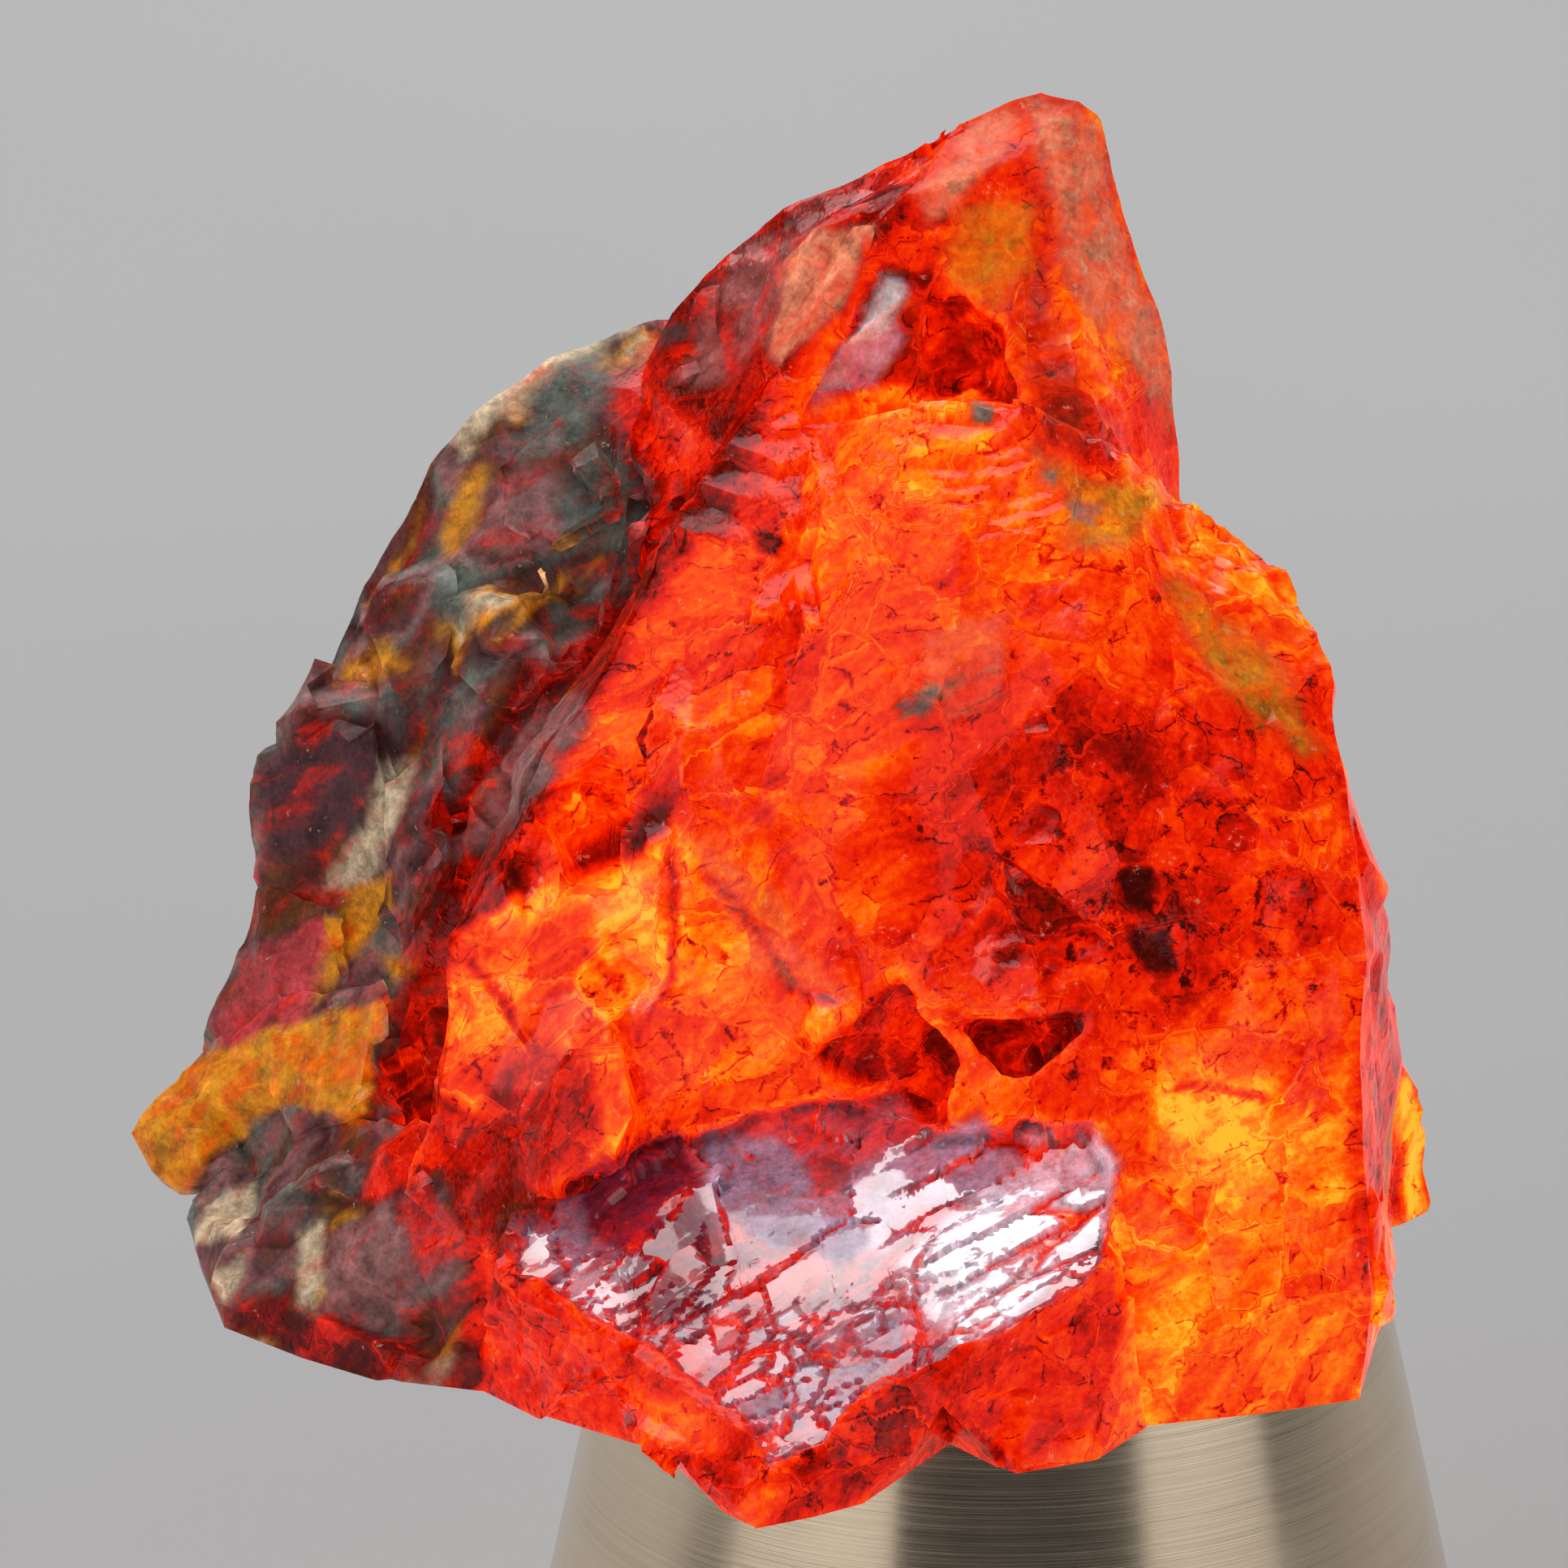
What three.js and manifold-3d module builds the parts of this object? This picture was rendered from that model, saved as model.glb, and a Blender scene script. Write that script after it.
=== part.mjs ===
// A rough sphalerite gem crystal on a tapered stand of brushed steel.
// Millimetres, +Z up, +X to the right and +Y away from the front.
// The origin is the middle of the stand's foot, on the surface it stands on.
import * as THREE from "three";
import { ConvexGeometry } from "three/addons/geometries/ConvexGeometry.js";
import { MeshSurfaceSampler } from "three/addons/math/MeshSurfaceSampler.js";
import { mergeVertices } from "three/addons/utils/BufferGeometryUtils.js";
import Module from "manifold-3d";

const wasm = await Module();
wasm.setup();

// The stand
const STAND_HEIGHT = 22;
const STAND_TOP_RADIUS = 10.8;
const STAND_TAPER = 0.2; // radius gained for each millimetre down
const STAND_CHAMFER = 0.5;
const STAND_SIDES = 72;
const REST_GAP = 0.02; // air between the stone's flat underside and the stand's top
const STONE_BASE = STAND_HEIGHT + REST_GAP;

// The stone is set out as it looks from the front, with the eye this far above level.
const EYE_ELEVATION = THREE.MathUtils.degToRad(20);
const EYE_SIN = Math.sin(EYE_ELEVATION);
const EYE_COS = Math.cos(EYE_ELEVATION);

// Sphalerite splits along six planes. The edges between them run along the cube's four diagonals.
const CUBE_DIAGONALS = [
  new THREE.Vector3(1, -1, 1),
  new THREE.Vector3(1, -1, -1),
  new THREE.Vector3(1, 1, 1),
  new THREE.Vector3(1, 1, -1),
].map((diagonal) => diagonal.normalize());
const CLEAVAGE_NORMAL = new THREE.Vector3(1, 1, 0).normalize();

// The bright ledge at the front is a cleavage plane: its normal, and the way its steps run.
const LEDGE_NORMAL = new THREE.Vector3(-0.1, -0.44, 0.89).normalize();
const STEP_RUN = new THREE.Vector3(0.84, 0.45, 0.31);
const LEDGE_TIP = [-6.3, -4.6, -18.8]; // as seen from the front
const LEDGE_BACK = -7; // the ledge lies in front of this
const ON_LEDGE = 0.97; // least cosine between the ledge's normal and a face that belongs to it

// Thin plates left standing on the ledge. It narrows to its tip, so they have less room there.
const PLATES = {
  count: 22,
  seed: 21,
  middle: [-4.6, 0.6],
  length: 15,
  depth: 9,
  room: 7.2,
  narrowing: 1.3,
  height: [0.15, 0.6],
  halfLength: [1, 3],
  halfWidth: [0.6, 1.7],
  root: 1,
};

// The left side is weathered. It ends at this x at the foot, and leans right from there.
const WEATHERED_TO = -15.5;
const WEATHERED_LEAN = 0.3;

// Low bulges, and scars where a flake has split away. Height is the most, and scars is their share.
const FLAKES = [
  { count: 24, radius: 4.4, height: 0.8, scars: 0.5, seed: 1651, from: isFresh },
  { count: 20, radius: 3, height: 1, scars: 0.5, seed: 1752, from: isWeathered },
  { count: 48, radius: 2.6, height: 0.5, scars: 0.5, seed: 1653, from: isFresh },
  { count: 24, radius: 1.8, height: 0.7, scars: 0.5, seed: 1754, from: isWeathered },
];
const FLAKE_RIM = [0.6, 1]; // the corners round a flake lie between these shares of its radius
const FLAKE_RIM_CORNERS = { least: 5, most: 7 };
const FLAKE_MIDDLE = 0.45;
const FLAKE_MIDDLE_CORNERS = { least: 3, most: 4 };
const FLAKE_SINK = 0.5; // its rim lies this share of its height on the other side of the surface
const FLAKE_HEIGHT = [0.4, 1];
const FLAKE_CORNER_HEIGHT = [0.5, 1];

// Small cleavage blocks that are gone from the surface, or stand on it. Standing is their share.
const CHIPS = [
  { count: 16, size: 2.1, depth: 0.6, standing: 0, seed: 1761, from: isWeathered },
  { count: 10, size: 1.1, depth: 0.35, standing: 1, seed: 1762, from: isWeathered },
  { count: 18, size: 2.1, depth: 0.45, standing: 0, seed: 1663, from: isFresh },
  { count: 14, size: 1.1, depth: 0.3, standing: 0.4, seed: 1664, from: isFresh },
];
const CHIP_LENGTH = [0.4, 1.3]; // shares of a chip's size
const CHIP_DEPTH = [0.35, 1];

const MERGE_MM = 1e-4;
const SIMPLIFY_MM = 0.04;
const SURFACE_SAMPLES = 6000;
const SAME_FACE = 0.75; // least cosine between the directions of points that share a face
const FOOT_MARGIN = 0.3; // the stone isn't chipped lower than this above its underside
const BELOW_SIZE = 90; // more than the stone's width

// A repeatable source of random numbers from 0 to 1, the mulberry32 generator.
function randomFrom(seed) {
  let state = seed;
  return () => {
    state = (state + 0x6d2b79f5) | 0;
    let mixed = Math.imul(state ^ (state >>> 15), 1 | state);
    mixed = (mixed + Math.imul(mixed ^ (mixed >>> 7), 61 | mixed)) ^ mixed;
    return ((mixed ^ (mixed >>> 14)) >>> 0) / 2 ** 32;
  };
}

function between(random, [low, high]) {
  return low + (high - low) * random();
}

// A point as it is seen from the front: across and up in the view, and back from the stand's axis.
function seen([across, up, back]) {
  const height = (up - back * EYE_SIN) / EYE_COS;
  return new THREE.Vector3(across, back, STONE_BASE + height);
}

// A point on the stone's flat underside.
function under([across, back]) {
  return new THREE.Vector3(across, back, STONE_BASE);
}

// The point of the ledge's plane that is seen at a place in the front view.
function onLedge([across, up]) {
  const offset = LEDGE_NORMAL.dot(seen(LEDGE_TIP)) - LEDGE_NORMAL.dot(seen([across, up, 0]));
  const slope = LEDGE_NORMAL.y - (LEDGE_NORMAL.z * EYE_SIN) / EYE_COS;
  return seen([across, up, offset / slope]);
}

// A closed geometry as a solid that can be joined and cut.
function solidOf(geometry) {
  const bare = new THREE.BufferGeometry();
  bare.setAttribute("position", geometry.getAttribute("position"));
  if (geometry.index) bare.setIndex(geometry.index);
  const merged = mergeVertices(bare, MERGE_MM);
  return new wasm.Manifold(
    new wasm.Mesh({
      numProp: 3,
      vertProperties: merged.getAttribute("position").array,
      triVerts: new Uint32Array(merged.index.array),
    }),
  );
}

function geometryOf(solid) {
  const mesh = solid.getMesh();
  const position = new THREE.BufferAttribute(mesh.vertProperties, mesh.numProp);
  const geometry = new THREE.BufferGeometry();
  geometry.setAttribute("position", position);
  geometry.setIndex(new THREE.BufferAttribute(mesh.triVerts, 1));
  return geometry;
}

// A solid with flat faces that spans the points it is given.
function hull(points) {
  return solidOf(new ConvexGeometry(points));
}

// A lump of the stone: the corners of its foot, and its corners as seen from the front.
function lump(foot, corners) {
  return hull([...foot.map(under), ...corners.map(seen)]);
}

function joined(solids) {
  return solids.reduce((whole, next) => whole.add(next));
}

// Turns the cube's own directions so that one cleavage plane is the ledge.
function crystalTurn() {
  const run = STEP_RUN.clone().projectOnPlane(LEDGE_NORMAL).normalize();
  const cube = new THREE.Matrix4().makeBasis(
    CUBE_DIAGONALS[0],
    new THREE.Vector3().crossVectors(CLEAVAGE_NORMAL, CUBE_DIAGONALS[0]),
    CLEAVAGE_NORMAL,
  );
  const placed = new THREE.Matrix4().makeBasis(
    run,
    new THREE.Vector3().crossVectors(LEDGE_NORMAL, run),
    LEDGE_NORMAL,
  );
  return placed.multiply(cube.transpose());
}

const EDGES = CUBE_DIAGONALS.map((diagonal) => diagonal.clone().transformDirection(crystalTurn()));

// A block bounded by cleavage planes alone, with a length along each of the four edge directions.
function cleavageBlock(centre, lengths) {
  let corners = [centre];
  EDGES.forEach((edge, i) => {
    corners = corners.flatMap((corner) => [
      corner.clone().addScaledVector(edge, -lengths[i] / 2),
      corner.clone().addScaledVector(edge, lengths[i] / 2),
    ]);
  });
  return hull(corners);
}

// How far a cleavage block reaches from its centre in a direction.
function blockReach(direction, lengths) {
  return EDGES.reduce((sum, edge, i) => sum + (Math.abs(edge.dot(direction)) * lengths[i]) / 2, 0);
}

// The main mass: the glowing front under the crest, and its square right edge.
function heart() {
  const foot = [
    [-8, -8], [-2, -12.6], [3.8, -12.1], [7, -11.2], [9.8, -10.1], [11.1, 0], [8.5, 8], [0, 11.5],
    [-8, 8],
  ];
  const crest = [
    [-5.3, 23.3, 0.5], [-3.4, 24.5, -0.3], [-0.7, 24.4, -0.8], [1.8, 23.1, -0.9], [5.1, 21.4, 0.4],
  ];
  const front = [
    [-5.4, 19.4, -2.7], [-1.2, 20.7, -3.5], [2.6, 20, -3.7], [-6.9, 12.3, -6.3],
    [-1.6, 15.4, -6.7], [2, 15.6, -6.9], [-4.1, 7.5, -8.9], [0.6, 9.4, -9.6], [3.6, 9.8, -9.6],
    [1, 6.2, -10.4], [6.1, 7, -9.9], [4, 3.4, -11.4],
  ];
  const right = [
    [9.9, 5, -9.2], [9.8, 11.8, -6.6], [11, 7.3, 1.5], [9.4, 13.6, -4], [8.7, 17.7, -2],
    [7.9, 19.4, -0.5],
  ];
  const behind = [
    [5, 21, 6], [9.5, 9, 8], [-4, 22, 8],
  ];
  return lump(foot, [...crest, ...front, ...right, ...behind]);
}

// The long ridge on the left of the glowing front, with the orange face at its foot.
function ridge() {
  const foot = [
    [-15.2, -7.8], [-13, -9.6], [-5, -9], [-5, 8], [-11, 10], [-16, 3],
  ];
  const crest = [
    [-6.2, 25.2, 2.6], [-9.1, 20.7, -0.4], [-12.1, 15, -3], [-15.3, 9.4, -5.4],
  ];
  const face = [
    [-15.6, 5.2, -7.2], [-11.2, 2.8, -9.2], [-8, 5, -9.4], [-4.1, 7.3, -8.8], [-6.9, 12.2, -6.4],
    [-9.1, 12.2, -5.9], [-8, 14.6, -5], [-6.2, 18.4, -3], [-5, 22.8, 0.6],
  ];
  const behind = [
    [-6, 22, 7], [-13, 15, 6],
  ];
  return lump(foot, [...crest, ...face, ...behind]);
}

// The ledge at the front: a cleaved shelf that runs out to the lowest corner.
function ledge() {
  const foot = [
    [-15, -8.6], [-13.4, -10.5], [-9.1, -14.3], [-7.5, -18.3], [-6.8, -19.6], [-5.3, -18.8],
    [-2.8, -15.9], [3.8, -12.3], [-12, -4], [2, -5],
  ];
  const top = [
    [-13.6, 0.1], [-13.3, 1.6], [-8.2, 4.2], [-5.3, 4.9], [-3.2, 4.8], [2.2, 4.1], [3.1, 2.5],
    [2.8, 0.5], [-3.4, -2.7],
  ];
  return hull([...foot.map(under), seen(LEDGE_TIP), ...top.map(onLedge)]);
}

// The knob under the ledge's right half.
function ledgeKnob() {
  return lump(
    [
      [-1.4, -13.6], [0.3, -15.6], [2.5, -14.6], [3.9, -12.2], [-1, -10],
    ],
    [
      [-1, -1.5, -14.6], [1.2, -1.6, -14.8], [3.5, -0.6, -12.9], [1, 0.4, -10],
    ],
  );
}

// The horn that rises behind the crest to the top of the stone.
function horn() {
  const tip = [
    [0.2, 32.7, 8], [1.1, 32.9, 8.4], [2.2, 32.6, 8.2], [2.8, 32, 8.4], [-1.2, 32, 7.6],
    [0.7, 31, 6.4],
  ];
  const right = [
    [3.1, 30, 8], [3.7, 28, 7.4], [4.6, 26.4, 7], [4.9, 24.5, 6], [5.2, 22.5, 5.4], [5.2, 18, 4],
  ];
  const left = [
    [-2.7, 29.8, 5.6], [-4.4, 28, 4.6], [-6.2, 25.2, 3], [-7.5, 22, 2],
  ];
  const front = [
    [1.6, 27, 4.4], [2.6, 22, 1.4],
  ];
  const behind = [
    [1.4, 29, 11.5], [3.6, 24, 12], [-3, 24, 12.5], [-8, 18, 9], [4.4, 16, 11], [-2, 30.6, 9.4],
  ];
  return lump([], [...tip, ...right, ...left, ...front, ...behind]);
}

// The rough back, from the foot up to the horn.
function back() {
  return lump(
    [
      [9, 7], [7.5, 9.5], [0, 13], [-9, 12.4], [-14, 12], [-8, 2], [8, 2],
    ],
    [
      [7.8, 12, 8.4], [5.2, 17, 11], [-1.6, 18.4, 14], [-8.6, 17, 13], [3.2, 23.6, 12],
      [-3, 24.4, 12.8], [1.2, 29.4, 11], [-3.4, 29.6, 10], [-7, 27, 9.8], [-9.4, 24, 11.4],
      [-13, 19, 12.6], [4, 20, 4], [-6, 22, 4],
    ],
  );
}

// The dark face behind the long ridge on the upper left, and the pale strip beside it.
function shoulder() {
  const face = [
    [-2.3, 31.4, 8.6], [-3.5, 31, 9.2], [-6.6, 29.2, 9], [-8.2, 27.7, 8.4], [-9.1, 26.6, 8],
    [-1.2, 31.8, 9.4], [-10.2, 22, 4.6], [-9.8, 20, 3], [-6.4, 25, 4], [-4.6, 28, 5.6],
    [-5, 24, 13], [-9, 20, 12], [-9.8, 25, 7.4],
  ];
  const strip = [
    [-5.6, 28.6, 6.2], [-3.6, 28.9, 4.9], [-4.2, 27.2, 4.2], [-6.6, 24.6, 3.2], [-6.8, 26.6, 5.4],
    [-5, 27, 9],
  ];
  return joined([lump([], face), lump([], strip)]);
}

// The weathered slab that covers the left side, and the lumps that stand on it.
function slab() {
  const main = lump(
    [
      [-20, 8], [-19, 0.5], [-12, -2], [-9, 10], [-14, 14],
    ],
    [
      [-12.5, 25.2, 9.5], [-14.8, 23.9, 9], [-16, 22.5, 8.6], [-16.9, 20.7, 8], [-10, 26.4, 10],
      [-9.2, 26.6, 10.6], [-18.3, 17.7, 7.4], [-19.2, 16.4, 7], [-10.4, 20, 3.8], [-13, 15, 1.8],
      [-15, 12, 0.4], [-19, 12, 4], [-18, 8, 2.4], [-13, 20, 15], [-17, 15, 13], [-9.4, 24, 7],
      [-14.6, 21.4, 6.4],
    ],
  );
  const lumps = [
    [
      [-20, 15.2, 6.6], [-20.8, 14.3, 6], [-21, 12.7, 5.4], [-20.9, 10.9, 5], [-20.2, 9.6, 4.6],
      [-17.4, 15.4, 3.2], [-16.6, 12.4, 1.6], [-17.6, 9.4, 2.2], [-17.5, 14, 10], [-18, 10.5, 9],
    ],
    [
      [-14.2, 22.4, 5.6], [-12.4, 24, 6.4], [-10.6, 23.6, 5.4], [-10.4, 21, 3.4],
      [-12.6, 19.8, 3.4], [-14, 20.6, 4.6], [-12, 22, 9],
    ],
    [
      [-13.6, 19.4, 3.4], [-11.4, 19.6, 2.4], [-11.6, 16.9, 0.9], [-13.6, 15.2, 0.9],
      [-15.2, 16.8, 2.6], [-13, 17, 6],
    ],
    [
      [-17.2, 19.2, 6.2], [-15.6, 20.6, 6.4], [-15, 18, 4], [-16.6, 15.8, 3.6], [-18.2, 16.8, 5.4],
      [-16, 18, 9],
    ],
    [
      [-17.4, 13.6, 2.2], [-15.6, 14.9, 1.6], [-15.2, 11.2, -0.8], [-16.6, 8.6, -0.6],
      [-17.8, 9.6, 1.2], [-16, 12, 5],
    ],
  ];
  return joined([main, ...lumps.map((corners) => lump([], corners))]);
}

// The ochre wedge that points left.
function wedge() {
  return lump([], [
    [-24.3, 3.7, 2.6], [-23.3, 4.9, 3], [-22.2, 6.1, 3], [-19.4, 7.6, 1.4], [-17.2, 8.2, -1],
    [-16.6, 6.6, -2.8], [-18, 4.2, -2.6], [-21.2, 3, 0], [-22.9, 2.5, 1.6], [-22.4, 2, 5],
    [-18, 6, 8], [-17, 2, 2],
  ]);
}

// The red block between the wedge and the slab.
function wedgeBlock() {
  return lump([], [
    [-21.7, 7.8, 4], [-21, 9.3, 4.4], [-20.7, 10.6, 5], [-18.6, 10.2, 2], [-18.2, 7.6, 0.6],
    [-20.6, 6, 2.6], [-22.3, 6, 4.4], [-18, 9, 8], [-19, 5, 7],
  ]);
}

// The broken lumps low on the left, under the wedge.
function leftFoot() {
  const outer = lump(
    [
      [-22.4, 0], [-21.6, -4.7], [-19.4, -7], [-17.3, -8.7], [-15.2, -8.2], [-14, -4], [-15, 6],
      [-20, 6],
    ],
    [
      [-22.6, 1.3, 0.6], [-22.4, 1.9, 0.8], [-21.4, 0.9, -2.6], [-21.4, 3, 1], [-18, 4.2, -2.4],
      [-17, 2.6, -5.6], [-15.6, 4.2, -6.4], [-15.2, 1.2, -8.2],
    ],
  );
  const inner = lump(
    [
      [-18.4, -7.6], [-16.6, -8.8], [-13.4, -9.8], [-12, -6], [-16, -3],
    ],
    [
      [-17.4, 1.6, -6.6], [-16.6, 2.6, -6.2], [-15, 2.8, -7], [-13.2, 0.6, -9.6],
      [-16.2, -1.4, -8.4], [-14, 2.2, -5],
    ],
  );
  return joined([outer, inner]);
}

// The rough red lumps above the ledge's left end.
function leftKnee() {
  const outer = [
    [-16.4, 3.4, -6.4], [-15.8, 4.4, -6.6], [-14.6, 4.8, -7], [-13, 3.6, -9], [-11.6, 2.2, -10.6],
    [-14, 0.4, -10], [-16.6, 2.2, -7.4], [-10, 3, -8], [-12, 1, -4],
  ];
  const inner = [
    [-13.2, 3.8, -8.8], [-11.8, 6, -8.8], [-10.6, 6.3, -9], [-10.2, 4.4, -10.4], [-11.4, 2.4, -11],
    [-12.9, 2.6, -10], [-10, 4, -6],
  ];
  return joined([lump([], outer), lump([], inner)]);
}

// The thin lobe at the back right, through which the light comes yellow.
function lobe() {
  return lump([], [
    [11, 5.8, 3], [11.8, 4.9, 4], [12.3, 3.3, 4.6], [12.2, 1.7, 4.4], [11.5, 0.1, 3.4],
    [11.1, 5, 7], [11.3, 1.5, 7], [10, 6.4, 2], [9.6, 0, 2], [9, 4, 8],
  ]);
}

// The blocks at the upper right, above the square edge, parted by an ochre seam.
function rightShoulder() {
  const outer = [
    [5.3, 21.4, 0.2], [6.8, 20.4, 0], [7.9, 19.5, -0.6], [8.7, 17.7, -1.8], [9, 16.1, -2.6],
    [5.4, 19.4, -2.4], [7, 17, -3.6], [8.6, 14.4, -4.4], [9, 12, 4], [6, 19, 5],
  ];
  const inner = [
    [4.2, 19, -3.4], [4.8, 16.4, -5.6], [6.6, 13, -7.2], [8.8, 10.2, -7.8], [9.3, 13, -4.6],
    [6.4, 16.8, -4.2], [4, 14, -6], [6, 14, 2],
  ];
  return joined([lump([], outer), lump([], inner)]);
}

// Hollows cleaved out of the front.
function hollows() {
  const scoopLeft = [
    [-5.5, 23.4, -3], [-3.5, 24.4, -3], [-2.3, 23.9, -3], [-1.2, 26.4, -3], [-2.9, 27.9, -3],
    [-5.5, 23.5, 2.6], [-2.9, 27.9, 4], [-3.4, 24.6, 3.6], [-2.3, 24, 4.2], [-1.4, 26.2, 4.2],
  ];
  const scoopRight = [
    [-2.3, 23.9, -3], [-0.7, 24.3, -3], [0.5, 23.6, -3], [0.2, 26, -3], [-1.8, 28, -3],
    [-2.2, 24, 4], [-1.7, 27.9, 4.6], [0.1, 25.8, 3.8], [0.4, 23.8, 2.6], [-0.8, 24.8, 5],
  ];
  const fanLeft = [
    [-4.2, 7.4, -13], [-2.8, 8.2, -13], [-1.4, 5.7, -13], [-2.2, 3.6, -13], [-5.6, 5.1, -13],
    [-2.8, 8, -9.1], [-1.5, 5.8, -7.8], [-2.4, 4.2, -7.8], [-5, 5.3, -8.6],
  ];
  const fanRight = [
    [-1.2, 7.1, -13], [2.2, 7, -13], [1.4, 5.6, -13], [-0.9, 5.4, -13], [-1.1, 7, -9.4],
    [2.1, 6.9, -10], [0.4, 5.8, -8.6],
  ];
  const groove = [
    [-9.8, 20.6, -4], [-10.6, 20, -4], [-15.9, 11, -8], [-15.5, 10.4, -8], [-9.9, 20.5, 1.6],
    [-10.6, 19.8, 2.2], [-15.6, 11.2, -1.6], [-15.5, 10.8, -2],
  ];
  return [scoopLeft, scoopRight, fanLeft, fanRight, groove].map((corners) => lump([], corners));
}

// Bites out of the foot on both sides of the lowest corner.
function undercuts() {
  const left = [
    [-12.8, -11.2], [-9.4, -14], [-7.7, -18.4], [-12, -19],
  ];
  const right = [
    [-3.9, -17.8], [-1.5, -13.4], [-0.1, -15.3], [-1.6, -19],
  ];
  return [lump(left, [[-10.4, -2.4, -14.8]]), lump(right, [[-1.8, -2.6, -16]])];
}

// Thin plates left standing on the ledge where the sheets over them have split away.
function ledgePlates() {
  const random = randomFrom(PLATES.seed);
  const across = new THREE.Vector3(1, 0, 0).projectOnPlane(LEDGE_NORMAL).normalize();
  const up = new THREE.Vector3().crossVectors(LEDGE_NORMAL, across);
  const middle = onLedge(PLATES.middle);
  const plates = [];
  while (plates.length < PLATES.count) {
    const right = (random() - 0.5) * PLATES.length;
    const behind = (random() - 0.5) * PLATES.depth;
    if (Math.abs(right) > PLATES.room + behind * PLATES.narrowing) continue;
    const centre = middle.clone().addScaledVector(across, right).addScaledVector(up, behind);
    const height = between(random, PLATES.height);
    const halfLength = between(random, PLATES.halfLength);
    const halfWidth = between(random, PLATES.halfWidth);
    const corners = [];
    for (const [a, b] of [[-1, -1], [-1, 1], [1, -1], [1, 1]]) {
      const corner = centre.clone();
      corner.addScaledVector(EDGES[0], a * halfLength);
      corner.addScaledVector(EDGES[1], b * halfWidth);
      corners.push(corner.clone().addScaledVector(LEDGE_NORMAL, height));
      corners.push(corner.addScaledVector(LEDGE_NORMAL, -PLATES.root));
    }
    plates.push(hull(corners));
  }
  return joined(plates);
}

// Points spread evenly over a solid, each with the direction that faces out there.
function surfacePoints(solid, count, random) {
  const mesh = new THREE.Mesh(geometryOf(solid).toNonIndexed());
  mesh.geometry.computeVertexNormals();
  const sampler = new MeshSurfaceSampler(mesh).setRandomGenerator(random).build();
  return Array.from({ length: count }, () => {
    const point = { place: new THREE.Vector3(), outward: new THREE.Vector3() };
    sampler.sample(point.place, point.outward);
    return point;
  });
}

// Where the surface can be chipped: above the foot, and off the ledge's plane.
function isOpen({ place, outward }) {
  const isLedge = outward.dot(LEDGE_NORMAL) > ON_LEDGE && place.y < LEDGE_BACK;
  return place.z > STONE_BASE + FOOT_MARGIN && !isLedge;
}

// The left side is weathered, and broken more coarsely than the rest.
function isWeathered(point) {
  const { x, z } = point.place;
  return isOpen(point) && x < WEATHERED_TO + WEATHERED_LEAN * (z - STONE_BASE);
}

function isFresh(point) {
  return isOpen(point) && !isWeathered(point);
}

// The largest piece of a solid, without crumbs cut loose.
function largestPiece(solid) {
  return solid.decompose().reduce((best, piece) => (piece.volume() > best.volume() ? piece : best));
}

// The stone with a body joined to it or cut from it, unless that would make a hole through it.
function worked(stone, body, isCut) {
  const next = largestPiece(isCut ? stone.subtract(body) : stone.add(body));
  return next.genus() > stone.genus() ? stone : next;
}

// The flat-faced body of a flake on the surface. It bulges out, or in where lift is negative.
function flake(points, centre, radius, lift, random) {
  const face = points.filter((p) => p.outward.dot(centre.outward) > SAME_FACE);
  const reach = (p) => p.place.distanceTo(centre.place) / radius;
  const rim = face.filter((p) => reach(p) > FLAKE_RIM[0] && reach(p) < FLAKE_RIM[1]);
  const middle = face.filter((p) => reach(p) < FLAKE_MIDDLE);
  const moved = (p, distance) => p.place.clone().addScaledVector(p.outward, distance);
  if (rim.length < FLAKE_RIM_CORNERS.least) return null;
  if (middle.length < FLAKE_MIDDLE_CORNERS.least) return null;
  return hull([
    ...rim.slice(0, FLAKE_RIM_CORNERS.most).map((p) => moved(p, -FLAKE_SINK * lift)),
    ...middle
      .slice(0, FLAKE_MIDDLE_CORNERS.most)
      .map((p) => moved(p, lift * between(random, FLAKE_CORNER_HEIGHT))),
  ]);
}

// Low flat-faced bulges, and the shallow scars of flakes that have split away.
function flaked(stone, { count, radius, height, scars, seed, from }) {
  const random = randomFrom(seed);
  const points = surfacePoints(stone, SURFACE_SAMPLES, random).filter(from);
  for (const centre of points.slice(0, count)) {
    const isScar = random() < scars;
    const lift = height * between(random, FLAKE_HEIGHT) * (isScar ? -1 : 1);
    const body = flake(points, centre, radius, lift, random);
    if (body) stone = worked(stone, body, isScar);
  }
  return stone;
}

// Small cleavage blocks, taken from the surface or left standing on it.
function cleaved(stone, { count, size, depth, standing, seed, from }) {
  const random = randomFrom(seed);
  const points = surfacePoints(stone, SURFACE_SAMPLES, random).filter(from);
  for (const { place, outward } of points.slice(0, count)) {
    const lengths = EDGES.map(() => size * between(random, CHIP_LENGTH));
    const reach = blockReach(outward, lengths);
    const bite = depth * between(random, CHIP_DEPTH);
    const stands = random() < standing;
    const centre = place.clone().addScaledVector(outward, stands ? bite - reach : reach - bite);
    stone = worked(stone, cleavageBlock(centre, lengths), !stands);
  }
  return stone;
}

// Everything under the flat cleavage face that the stone rests on.
function belowStone() {
  const box = new THREE.BoxGeometry(BELOW_SIZE, BELOW_SIZE, STAND_HEIGHT);
  return solidOf(box.translate(0, 0, STONE_BASE - STAND_HEIGHT / 2));
}

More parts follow.
